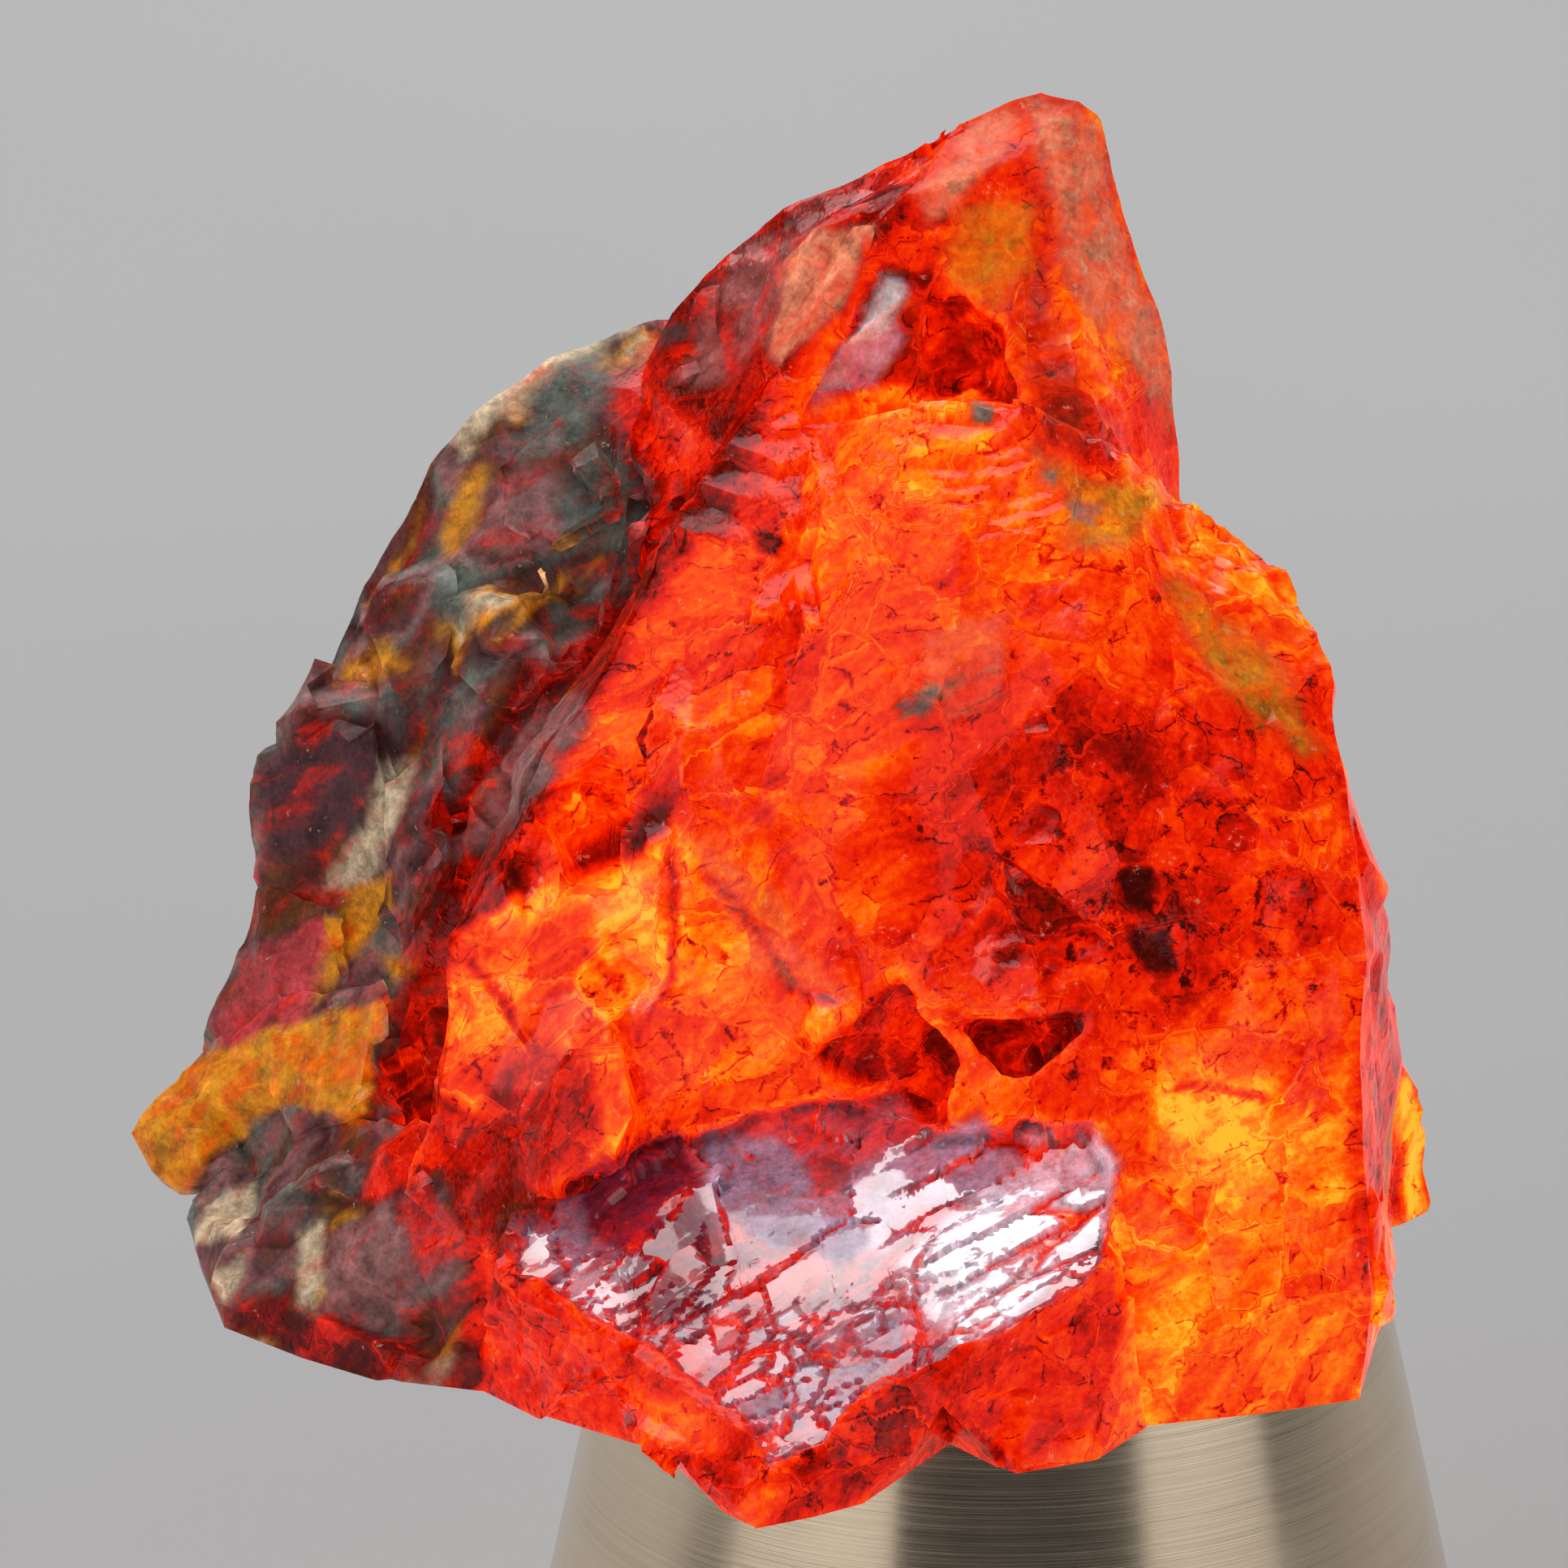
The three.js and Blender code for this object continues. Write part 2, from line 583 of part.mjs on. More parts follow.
function stoneSolid() {
  const lumps = [
    heart, ridge, ledge, ledgeKnob, horn, back, shoulder, slab, wedge, wedgeBlock, leftFoot,
    leftKnee, lobe, rightShoulder,
  ];
  const cuts = joined([...hollows(), ...undercuts()]);
  const whole = joined(lumps.map((make) => make())).subtract(cuts);
  let stone = largestPiece(whole.add(ledgePlates()));
  for (const flakes of FLAKES) stone = flaked(stone, flakes);
  for (const chips of CHIPS) stone = cleaved(stone, chips);
  return largestPiece(stone.subtract(belowStone()).simplify(SIMPLIFY_MM));
}

// The stand is turned from one profile of radius and height.
function standGeometry() {
  const footRadius = STAND_TOP_RADIUS + STAND_TAPER * STAND_HEIGHT;
  const profile = [
    [0, 0],
    [footRadius - STAND_CHAMFER, 0],
    [footRadius, STAND_CHAMFER],
    [STAND_TOP_RADIUS, STAND_HEIGHT - STAND_CHAMFER],
    [STAND_TOP_RADIUS - STAND_CHAMFER, STAND_HEIGHT],
    [0, STAND_HEIGHT],
  ].map(([radius, height]) => new THREE.Vector2(radius, height));
  return new THREE.LatheGeometry(profile, STAND_SIDES).rotateX(Math.PI / 2);
}

function named(name, geometry, material) {
  const mesh = new THREE.Mesh(geometry, material);
  mesh.name = name;
  return mesh;
}

const stone = new THREE.MeshStandardMaterial({ color: 0xd2330c, roughness: 0.12, metalness: 0 });
const steel = new THREE.MeshStandardMaterial({ color: 0xa89c8c, roughness: 0.32, metalness: 1 });

const object = new THREE.Group();
object.add(named("sphalerite", geometryOf(stoneSolid()), stone));
object.add(named("stand", standGeometry(), steel));

export default object;
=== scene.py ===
"""A rough sphalerite crystal that glows as if lit from below, on a stand of brushed steel.

The stone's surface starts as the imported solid. It is split finely, broken into cleavage steps and
fracture facets, and painted by zones that are set out as the stone looks from the front. Lengths are in
millimetres until a mesh, a light or the camera is made from them.
"""
import math
from typing import NamedTuple

import bmesh
import bpy
import numpy as np
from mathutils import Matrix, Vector


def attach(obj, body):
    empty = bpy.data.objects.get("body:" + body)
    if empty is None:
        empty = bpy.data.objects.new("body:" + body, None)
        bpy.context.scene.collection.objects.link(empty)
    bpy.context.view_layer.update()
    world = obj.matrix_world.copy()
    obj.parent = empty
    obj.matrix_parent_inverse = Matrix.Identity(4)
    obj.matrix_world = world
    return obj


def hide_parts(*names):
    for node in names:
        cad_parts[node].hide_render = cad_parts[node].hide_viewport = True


MM = 0.001
STAND_TOP_MM = 22.0
REST_GAP_MM = 0.02  # air between the stone's flat underside and the stand's top
STONE_BASE_MM = STAND_TOP_MM + REST_GAP_MM
EYE_ELEVATION = math.radians(20)
EYE_SIN, EYE_COS = math.sin(EYE_ELEVATION), math.cos(EYE_ELEVATION)
TOWARD_EYE = np.array([0.0, -EYE_COS, EYE_SIN])

# The camera looks from the front, far off through a long lens, and takes in this many millimetres.
VIEW_WIDTH_MM = 43.9
VIEW_CENTRE_MM = (-6.05, 13.5)
CAMERA_DISTANCE_MM = 600.0
SENSOR_MM = 36.0

# The stone's mesh: the longest edge in front, on the ledge and elsewhere, and what counts as a sharp edge.
EDGE_FRONT_MM = 0.34
EDGE_LEDGE_MM = 0.24
EDGE_BACK_MM = 0.85
LEDGE_SEEN_MM = ((-13.6, 3.3), (-4.8, 5.0))  # the part of the front view that the ledge lies in
WELD_MM = 0.002
STONE_SHARP_ANGLE = math.radians(28)

STAND_TOP_RADIUS_MM = 10.8
STAND_FOOT_RADIUS_MM = 15.2
STAND_CHAMFER_MM = 0.5
STAND_SIDES = 180
STAND_SHARP_ANGLE = math.radians(25)

# The crystal's cleavage: the plane of the bright ledge, the way its steps run, and where its tip is.
LEDGE_NORMAL = (-0.1, -0.44, 0.89)
STEP_RUN = (0.84, 0.45, 0.31)
TIP_Y_MM, TIP_UP_MM = -18.8, -4.6
LEDGE_TIP_MM = np.array([-6.3, TIP_Y_MM, STONE_BASE_MM + (TIP_UP_MM - TIP_Y_MM * EYE_SIN) / EYE_COS])
LEDGE_REACH_MM = 4.2  # what stands further than this from the ledge's plane isn't part of the ledge

# Cleavage steps: how high they are, and the seed of the noise that bends them.
CLEAVAGE_STEPS = ((0.5, 31), (0.22, 47))
STEP_PART = 0.8  # how much of the full step is made


class Plates(NamedTuple):
    """Plates of one size that are split off the ledge."""
    long: float
    wide: float
    depth: float  # how deep the deepest lies
    tilt: float
    crack: float  # width of the cracks round them
    closed: float  # how many of them have no crack
    seed: int


LEDGE_PLATES = {
    "broad": Plates(long=4.2, wide=3.2, depth=0.35, tilt=0.12, crack=0.17, closed=0.3, seed=81),
    "strips": Plates(long=6.0, wide=1.2, depth=0.3, tilt=0.14, crack=0.34, closed=0.3, seed=91),
    "tilted": Plates(long=2.4, wide=1.6, depth=0.25, tilt=0.26, crack=0.17, closed=0.55, seed=101),
    "small": Plates(long=2.8, wide=1.3, depth=0.16, tilt=0.2, crack=0.17, closed=0.55, seed=111),
    "flakes": Plates(long=1.4, wide=0.8, depth=0.06, tilt=0.16, crack=0.17, closed=0.55, seed=121),
}
PLATE_CRACK_DEPTH_MM = 0.12
PLATE_LEAN = 0.025  # the plates lean forward toward the ledge's upper edge, more and more
PLATE_BEND_MM = 0.3


class Fracture(NamedTuple):
    """Bowl-shaped fracture facets of one size."""
    size: float
    depth: float
    calm: float  # how deep they are, from 0 to 1, where the surface is calm
    on_crust: float  # how deep they are at least where the surface is weathered
    turn: float  # how far each facet turns the veils inside
    glints: bool
    seed: int


FRACTURES = (
    Fracture(size=5.5, depth=0.75, calm=1.0, on_crust=0.0, turn=0.65, glints=False, seed=411),
    Fracture(size=2.7, depth=0.42, calm=0.35, on_crust=0.0, turn=0.35, glints=False, seed=421),
    Fracture(size=1.3, depth=0.2, calm=0.0, on_crust=0.7, turn=0.0, glints=True, seed=431),
)
GLINT_SHARE, GLINT_SHINE = 0.1, 0.25
FACET_CONTRAST = 0.17

# Glow and cover where no zone says otherwise
FRONT_GLOW, CRACK_GLOW, CRUST_GLOW = 0.58, 0.5, 0.2
FOOT_GLOW, GLOW_LOSS, GLOW_LOSS_HEIGHT_MM = 0.92, 0.36, 18
CRUST_COVER = 0.93
CRUST_LIMIT_MM, CRUST_LEAN = -13.5, 0.28  # the weathered side ends at this x, and leans right from there

# Colours of the opaque skins and films on the stone, and of the sheens and reflections painted on it
GREY_GREEN = (0.10, 0.115, 0.095)
CREAM = (0.55, 0.42, 0.27)
OCHRE = (0.62, 0.24, 0.012)
BROWN = (0.11, 0.035, 0.01)
PLUM = (0.075, 0.026, 0.03)
MAUVE = (0.24, 0.105, 0.10)
ROSE = (0.40, 0.045, 0.05)
DARK_RED = (0.07, 0.004, 0.004)
RED = (0.26, 0.006, 0.003)
PEACH = (0.85, 0.27, 0.14)
# The next three are painted sheens and reflections: the lights as the ledge and the scoop mirror them.
LILAC_SHEEN = (0.56, 0.4, 0.58)
SILVER_REFLECTION = (0.8, 0.72, 0.86)
LEDGE_MAUVE_SHEEN = (0.38, 0.27, 0.40)
LEDGE_PURPLE = (0.25, 0.03, 0.08)
# A painted white highlight, on a rib of the scoop
WHITE_HIGHLIGHT = (0.75, 0.72, 0.72)
VEIL = (0.95, 0.22, 0.12)
FLECK = (0.24, 0.15, 0.12)
SHEEN = (0.36, 0.1, 0.09)

# The weathered skin's streaks, from one side of a streak to the other
CRUST_STREAKS = (
    (0.1, DARK_RED), (0.3, BROWN), (0.42, PLUM), (0.5, MAUVE), (0.56, GREY_GREEN), (0.64, PLUM),
    (0.72, BROWN), (0.78, OCHRE), (0.86, CREAM), (0.95, BROWN))

# The colour of the light inside, by how strong the glow is
GLOW_COLOURS = (
    (0.0, (0.006, 0.0, 0.0)), (0.18, (0.06, 0.001, 0.0)), (0.34, (0.3, 0.002, 0.0)),
    (0.5, (0.74, 0.008, 0.0)), (0.62, (0.88, 0.03, 0.0)), (0.74, (0.94, 0.085, 0.001)),
    (0.87, (0.98, 0.22, 0.003)), (1.0, (1.0, 0.5, 0.02)))

# Lights: one softbox that the ledge mirrors, one over the floor behind, two wide ones, and four tall strips
# round the stand.
LEDGE_MIDDLE_MM = (-5.0, -3.0, 28.0)
SOFTBOXES = {
    "softbox_ledge": dict(target_mm=LEDGE_MIDDLE_MM, direction=(-0.14, 0.2, 0.97), distance_mm=420,
                          size_mm=(190, 190), radiance=2.9),
    "softbox_floor": dict(target_mm=(0, 90, 0), direction=(0.0, 0.62, 0.78), distance_mm=420,
                          size_mm=(520, 220), radiance=2.6),
    "softbox_wide": dict(target_mm=LEDGE_MIDDLE_MM, direction=(-0.14, 0.31, 0.94), distance_mm=450,
                         size_mm=(460, 460), radiance=0.9),
    "softbox_key": dict(target_mm=(-6, 0, 36), direction=(-0.6, -0.5, 0.6), distance_mm=430,
                        size_mm=(360, 360), radiance=0.8),
}
# Each strip's name, how far round it stands from the front in degrees, its width, and its radiance.
STRIPS = (("left", -52, 330, 0.8), ("right", 58, 270, 0.8), ("back_left", -108, 240, 0.5),
          ("back_right", 130, 350, 0.35))
STRIP_TARGET_MM, STRIP_DISTANCE_MM, STRIP_HEIGHT_MM, STRIP_RISE = (0, 0, 12), 380, 150, 0.13
STUDIO_COLOUR, STUDIO_STRENGTH = (0.9, 0.95, 1.0, 1.0), 0.05

# The floor's front, its back and half its width
FLOOR_FRONT_MM, FLOOR_BACK_MM, FLOOR_HALF_MM = -900, 2600, 900

# Zones of the stone as seen from the front: a name, how soft the edge is, what the zone is given, and its
# outline in millimetres across and up from the middle of the stand's top. Later zones lie over earlier
# ones. Glow is the light inside, from 0, black, through deep red and orange to 1, yellow. Cover is how
# much of the glow the skin hides, and shine makes a mirror of the surface. Carve is how deep the zone is
# cut in, and soot sprinkles it with dark specks. Shelf marks the ledge, and smooth keeps steps off.
ZONES = [
    ("shoulder", 0.5, dict(glow=0.36), [
        (-9.0, 26.7), (-6.6, 29.3), (-3.5, 31.1), (-2.3, 31.6), (-2.8, 29.8), (-5.3, 26.4), (-7.5, 22.7),
        (-9.8, 20.5), (-10.5, 22.7), (-11.2, 24.5)]),
    ("scoop", 0.15, dict(glow=0.4, carve=0.3), [
        (-3.2, 28.0), (-1.9, 28.0), (0.2, 25.7), (0.4, 23.6), (-0.7, 24.3), (-2.3, 24.0), (-3.5, 24.4),
        (-5.5, 23.4), (-4.8, 25.5)]),
    ("crest", 0.5, dict(glow=0.74), [
        (-5.5, 23.2), (-3.5, 24.3), (0.4, 23.5), (1.8, 22.7), (4.7, 21.4), (3.8, 19.8), (0.2, 18.6),
        (-1.2, 20.5), (-5.3, 19.1), (-6.9, 20.9)]),
    ("strip", 0.5, dict(glow=0.6, smooth=1.0), [
        (-11.6, 15.5), (-9.1, 19.5), (-5.3, 22.7), (-6.2, 19.5), (-7.5, 15.0), (-12.1, 10.9), (-13.2, 11.6)]),
    ("heart", 1.0, dict(glow=0.44, carve=0.3), [
        (-2.8, 15.5), (0.4, 16.8), (5.0, 15.0), (6.8, 12.7), (6.1, 9.3), (5.4, 7.3), (2.7, 6.8), (-0.7, 7.5),
        (-2.8, 9.3), (-3.2, 12.7)]),
    ("face", 0.3, dict(glow=0.72), [
        (-9.1, 12.0), (-15.3, 9.3), (-15.5, 5.0), (-11.2, 2.7), (-8.0, 5.0), (-4.1, 7.3), (-4.6, 8.6),
        (-6.9, 12.3)]),
    ("face_band", 0.3, dict(glow=0.88), [
        (-9.1, 12.3), (-12.5, 10.9), (-14.4, 9.8), (-13.2, 9.5), (-10.7, 10.7), (-8.7, 11.7)]),
    ("lower_right", 0.9, dict(glow=0.73), [(3.4, 2.5), (9.7, 5.9), (9.8, -3.2), (3.4, -4.1)]),
    ("yellow", 0.8, dict(glow=0.9), [(3.9, 5.6), (7.4, 5.4), (8.0, 2.9), (6.4, 2.9), (4.2, 4.2)]),
    ("lobe", 0.2, dict(glow=1.0), [
        (11.0, 5.7), (11.7, 4.9), (12.2, 3.2), (12.1, 1.6), (11.4, 0.0), (11.1, -0.7), (11.0, 2.5)]),
    ("foot_left", 0.4, dict(glow=0.46), [
        (-13.5, 0.0), (-9.8, -1.4), (-7.5, -3.4), (-6.2, -4.9), (-6.8, -6.8), (-10.5, -4.5), (-14.4, -3.2),
        (-15.5, -1.4)]),
    ("foot_patch", 0.4, dict(glow=0.7), [(-10.0, -3.0), (-8.0, -3.6), (-7.5, -5.2), (-9.8, -4.5)]),
    ("foot_right", 0.5, dict(glow=0.41), [
        (-6.2, -5.0), (-3.5, -2.7), (-0.5, -1.4), (3.1, 0.0), (3.4, -3.6), (0.4, -5.5), (-1.4, -4.7),
        (-5.3, -6.5), (-6.6, -6.8)]),
    ("heart_left", 0.8, dict(glow=0.42), [
        (-2.6, 13.2), (0.5, 14.8), (2.5, 12.0), (1.5, 8.5), (-1.2, 8.6), (-2.8, 10.5)]),
    ("heart_soot", 1.5, dict(soot=0.55), [
        (-1.4, 13.0), (2.2, 14.5), (7.0, 13.0), (9.5, 9.0), (8.5, 6.5), (4.0, 7.0), (0.5, 8.0)]),
    ("inclusion_top", 0.15, dict(glow=-0.2, soot=1.0), [(3.3, 11.1), (4.1, 11.2), (4.2, 10.3), (3.5, 10.2)]),
    ("inclusion_low", 0.2, dict(glow=-0.2, soot=1.0), [(3.4, 9.5), (4.5, 9.6), (4.7, 8.6), (3.9, 8.4)]),
    ("side", 0.3, dict(glow=0.4), [
        (9.7, 12.5), (10.4, 9.5), (11.2, 6.5), (11.4, 2.0), (11.0, -2.4), (10.0, -3.4), (9.7, 4.0)]),
    ("side_low", 0.3, dict(glow=0.72), [(10.3, 2.5), (11.2, 1.0), (11.0, -2.0), (10.2, -2.4)]),
    ("veil_upper", 0.2, dict(cover=0.22, skin=VEIL), [(-2.4, 17.6), (0.2, 18.2), (0.0, 15.8), (-1.6, 15.0)]),
    ("veil_face", 0.2, dict(cover=0.2, skin=VEIL), [(-8.9, 12.0), (-6.6, 11.0), (-4.2, 7.6), (-7.4, 8.8)]),
    ("fleck_mid", 0.1, dict(cover=0.8, skin=FLECK), [(-3.2, 15.9), (-1.9, 16.2), (-2.2, 15.4), (-3.0, 15.2)]),
    ("crack_long", 0.1, dict(glow=0.3), [(-9.3, 11.6), (-9.15, 11.7), (-9.3, 9.0), (-9.9, 6.2), (-9.5, 9.0)]),
    ("crack_slant", 0.08, dict(glow=0.38), [(-14.9, 8.6), (-14.6, 8.6), (-12.4, 6.2), (-12.6, 6.0)]),
    ("crack_short", 0.08, dict(glow=0.38), [(-11.5, 9.0), (-11.3, 9.1), (-10.2, 7.7), (-10.3, 7.5)]),
    ("crack_edge", 0.08, dict(glow=0.42), [(-8.6, 11.2), (-8.3, 11.3), (-4.6, 7.5), (-4.9, 7.3)]),
    ("crack_yellow", 0.08, dict(glow=0.5), [(3.8, 5.1), (5.2, 5.3), (7.2, 5.2), (7.2, 5.0), (5.2, 5.0)]),
    ("fan", 0.2, dict(glow=0.4, carve=0.4), [
        (-5.3, 6.1), (-3.0, 8.2), (-1.4, 5.7), (-1.9, 3.6), (-3.2, 4.8)]),
    ("fan_right", 0.2, dict(glow=0.36, carve=0.3), [(-1.4, 6.8), (2.2, 7.0), (0.6, 5.2)]),
    # The ledge's silver, lilac and mauve skins are painted reflections of the lights on its cleavage plates,
    # over its real shine.
    ("ledge", 0.15, dict(glow=0.4, shine=0.7, shelf=1.0, cover=0.2, skin=LEDGE_MAUVE_SHEEN), [
        (-13.2, 1.6), (-8.2, 4.1), (-5.3, 4.9), (-3.2, 4.8), (-2.1, 3.6), (2.2, 4.1), (3.1, 2.5),
        (2.7, 0.5), (-0.5, -1.4), (-3.5, -2.7), (-6.2, -4.9), (-7.5, -3.4), (-9.8, -1.4), (-13.5, 0.0)]),
    ("silver_right", 0.3, dict(glow=0.36, shine=1.0, cover=0.75, skin=SILVER_REFLECTION), [
        (-3.0, 0.0), (-3.0, 0.7), (-0.7, 2.7), (1.3, 3.9), (2.5, 4.0), (3.1, 3.2), (3.0, 1.8), (1.5, 0.5),
        (0.0, -0.9), (-1.6, -1.8)]),
    ("silver_mid", 0.3, dict(glow=0.3, shine=0.9, cover=0.7, skin=LILAC_SHEEN), [
        (-5.5, 2.5), (-3.9, 3.0), (-2.1, 3.6), (-0.7, 4.1), (0.2, 3.6), (-0.3, 2.7), (-2.5, 2.0), (-3.5, 0.9),
        (-4.8, 1.4)]),
    ("plate_mauve_sheen", 0.2, dict(glow=0.25, shine=0.35, cover=0.9, skin=LEDGE_MAUVE_SHEEN), [
        (-8.5, 2.7), (-8.0, 4.1), (-6.2, 3.9), (-5.0, 3.2), (-5.5, 2.3), (-3.9, 1.4), (-4.4, 0.5),
        (-6.4, 0.9)]),
    ("ledge_purple", 0.3, dict(glow=0.28, shine=0.55, cover=0.35, skin=LEDGE_PURPLE), [
        (-12.0, 2.4), (-9.0, 3.9), (-8.2, 2.4), (-7.0, 0.4), (-8.5, -0.8), (-10.6, -0.9), (-11.3, 1.0)]),
    ("silver_low", 0.3, dict(glow=0.32, shine=0.85, cover=0.35, skin=LILAC_SHEEN), [
        (-8.4, -1.6), (-6.0, -0.6), (-3.4, -0.2), (-2.2, -1.0), (-3.6, -2.6), (-6.0, -4.4), (-7.6, -3.0)]),
    ("silver_left", 0.3, dict(glow=0.3, shine=1.0, cover=0.3, skin=LILAC_SHEEN), [
        (-13.3, 1.4), (-12.1, 1.8), (-10.7, 0.5), (-10.5, -0.7), (-11.6, -0.7), (-13.0, 0.7)]),
    ("horn_dark", 0.3, dict(glow=0.3), [
        (-8.6, 27.6), (-6.0, 30.2), (-3.0, 32.0), (-1.8, 31.8), (-3.2, 30.2), (-6.2, 28.8), (-8.2, 26.6)]),
    ("horn_core", 0.4, dict(glow=0.42, cover=0.25, skin=BROWN), [
        (0.4, 31.0), (1.2, 29.5), (1.6, 26.5), (3.2, 22.8), (1.0, 23.0), (0.4, 26.0), (0.6, 28.4)]),
    ("horn_streak", 0.25, dict(glow=0.6, cover=0.5, skin=PEACH), [
        (-2.6, 30.0), (-1.0, 31.4), (0.2, 32.4), (0.7, 31.8), (-0.8, 30.2), (-2.0, 29.2)]),
    ("horn_ochre", 0.4, dict(glow=0.6, cover=0.45, skin=OCHRE), [
        (-1.5, 29.4), (0.6, 29.5), (0.9, 28.0), (0.0, 26.6), (-1.4, 27.5)]),
    ("crest_ochre", 0.4, dict(cover=0.6, skin=OCHRE), [
        (1.1, 22.7), (4.7, 21.4), (3.4, 20.0), (1.8, 20.2), (2.2, 21.8)]),
    ("fleck_crest", 0.1, dict(cover=0.8, skin=FLECK), [(2.2, 21.6), (3.1, 21.2), (2.7, 20.6), (2.0, 21.0)]),
    ("fleck_small", 0.1, dict(cover=0.8, skin=FLECK), [
        (-0.8, 23.8), (-0.2, 23.7), (-0.4, 23.3), (-0.9, 23.4)]),
    ("fleck_tiny", 0.1, dict(cover=0.8, skin=FLECK), [(1.3, 22.3), (1.8, 22.2), (1.7, 21.8), (1.2, 21.9)]),
    ("fleck_left", 0.1, dict(glow=0.15, soot=1.0), [(-6.8, 20.6), (-6.2, 20.7), (-6.4, 20.1), (-6.9, 20.0)]),
    ("seam", 0.4, dict(cover=0.5, skin=OCHRE), [
        (4.5, 18.9), (5.4, 19.5), (7.5, 16.8), (8.9, 14.3), (8.4, 14.1), (6.1, 16.1)]),
    ("sheen", 0.3, dict(cover=0.6, skin=SHEEN), [
        (-8.7, 26.8), (-6.6, 28.9), (-5.3, 29.1), (-5.7, 27.3), (-7.5, 25.0), (-9.1, 24.5)]),
    ("peach", 0.2, dict(cover=0.75, skin=PEACH), [
        (-5.3, 28.4), (-3.5, 29.1), (-4.4, 27.0), (-6.4, 25.2), (-6.6, 26.4)]),
    ("horn_peach", 0.4, dict(glow=0.5, cover=0.65, skin=PEACH), [
        (0.6, 32.6), (2.2, 32.6), (2.8, 31.8), (3.1, 29.5), (4.7, 25.9), (5.1, 22.7), (3.4, 25.9),
        (2.2, 27.5), (1.3, 29.8)]),
    # A painted violet sheen and a painted white highlight in the scoop, over real shine.
    ("scoop_violet_sheen", 0.2, dict(cover=0.6, skin=LILAC_SHEEN, shine=0.6), [
        (-5.3, 24.1), (-4.8, 25.2), (-3.9, 26.4), (-3.2, 26.5), (-2.5, 25.5), (-3.2, 24.3), (-4.4, 24.1),
        (-5.3, 23.4)]),
    ("rib_white_highlight", 0.2, dict(cover=0.7, skin=WHITE_HIGHLIGHT, shine=0.8), [
        (-4.8, 25.5), (-3.9, 26.4), (-3.2, 27.7), (-2.7, 27.8), (-2.5, 26.8), (-3.2, 25.7), (-3.8, 25.6)]),
    ("crust", 0.35, dict(glow=0.2, cover=0.93), [
        (-9.8, 26.8), (-9.0, 26.4), (-11.0, 24.8), (-10.7, 22.7), (-10.0, 20.7), (-10.7, 19.1), (-12.1, 17.3),
        (-13.5, 14.3), (-15.3, 11.6), (-16.4, 9.5), (-17.1, 7.3), (-15.7, 6.1), (-17.1, 4.1), (-15.3, 2.7),
        (-15.3, -0.9), (-15.7, -3.2), (-26.9, -5.5), (-26.9, 28.6)]),
    ("grey_top", 0.3, dict(skin=GREY_GREEN), [
        (-13.6, 23.0), (-13.2, 24.5), (-11.8, 25.5), (-10.9, 25.8), (-11.3, 23.9), (-11.8, 23.0),
        (-13.2, 22.7)]),
    ("plum_top", 0.3, dict(skin=MAUVE), [
        (-14.5, 21.9), (-13.2, 22.7), (-12.2, 22.4), (-12.5, 20.3), (-13.2, 19.9), (-14.6, 19.9)]),
    ("grey_mid", 0.3, dict(skin=GREY_GREEN), [
        (-12.5, 21.4), (-11.5, 22.9), (-10.9, 22.9), (-10.2, 20.4), (-10.5, 19.9), (-12.2, 20.3)]),
    ("grey_low", 0.3, dict(skin=GREY_GREEN), [
        (-15.6, 19.1), (-14.8, 19.6), (-14.3, 19.1), (-15.0, 18.0), (-15.6, 18.1)]),
    ("grey_spot", 0.3, dict(skin=GREY_GREEN), [(-12.7, 18.3), (-11.8, 18.5), (-11.8, 17.7), (-12.5, 17.3)]),
    # A painted highlight along the rim, in the pale cream of the skin.
    ("cream_rim_highlight", 0.25, dict(skin=CREAM), [
        (-15.4, 22.7), (-15.6, 23.6), (-14.4, 24.5), (-13.2, 25.3), (-12.2, 26.0), (-10.9, 26.8),
        (-9.9, 26.8),
        (-10.0, 26.0), (-10.9, 25.8), (-12.1, 25.2), (-13.2, 24.3), (-14.4, 23.6)]),
    ("brown_rim", 0.2, dict(skin=BROWN), [(-15.1, 23.5), (-14.0, 24.0), (-13.8, 23.7), (-15.0, 23.0)]),
    ("ochre_streak", 0.3, dict(skin=OCHRE), [
        (-15.4, 22.2), (-14.6, 22.6), (-14.5, 22.1), (-14.8, 20.6), (-15.3, 19.6), (-15.8, 20.3)]),
    ("ochre_patch", 0.3, dict(skin=OCHRE), [
        (-18.2, 17.0), (-16.9, 17.2), (-16.6, 16.7), (-17.4, 16.3), (-18.4, 16.5)]),
    ("plum_low", 0.4, dict(skin=PLUM), [
        (-20.7, 14.0), (-19.0, 15.4), (-16.9, 15.7), (-16.6, 15.0), (-17.4, 13.7), (-18.7, 12.1),
        (-20.0, 11.4), (-20.8, 12.4)]),
    ("red_streak", 0.25, dict(carve=0.4, cover=0.3, glow=0.32, skin=DARK_RED), [
        (-13.2, 16.7), (-11.8, 17.3), (-12.2, 16.0), (-14.5, 13.4), (-15.8, 11.6), (-16.6, 11.1),
        (-15.4, 13.4)]),
    ("speckled", 0.3, dict(cover=0.8, skin=MAUVE), [
        (-13.2, 15.4), (-11.8, 16.3), (-11.5, 15.4), (-12.5, 13.4), (-14.1, 11.8), (-15.8, 10.8),
        (-16.3, 11.1), (-14.5, 12.7)]),
    ("cream_streak", 0.2, dict(skin=CREAM), [
        (-17.4, 14.4), (-16.6, 14.2), (-16.9, 12.9), (-18.1, 11.1), (-18.7, 10.5), (-19.2, 10.6),
        (-18.1, 12.7)]),
    ("pink_facet", 0.2, dict(skin=ROSE), [
        (-22.0, 6.8), (-21.0, 8.4), (-19.8, 9.8), (-19.2, 9.8), (-19.1, 8.0), (-19.2, 7.3), (-21.0, 6.4),
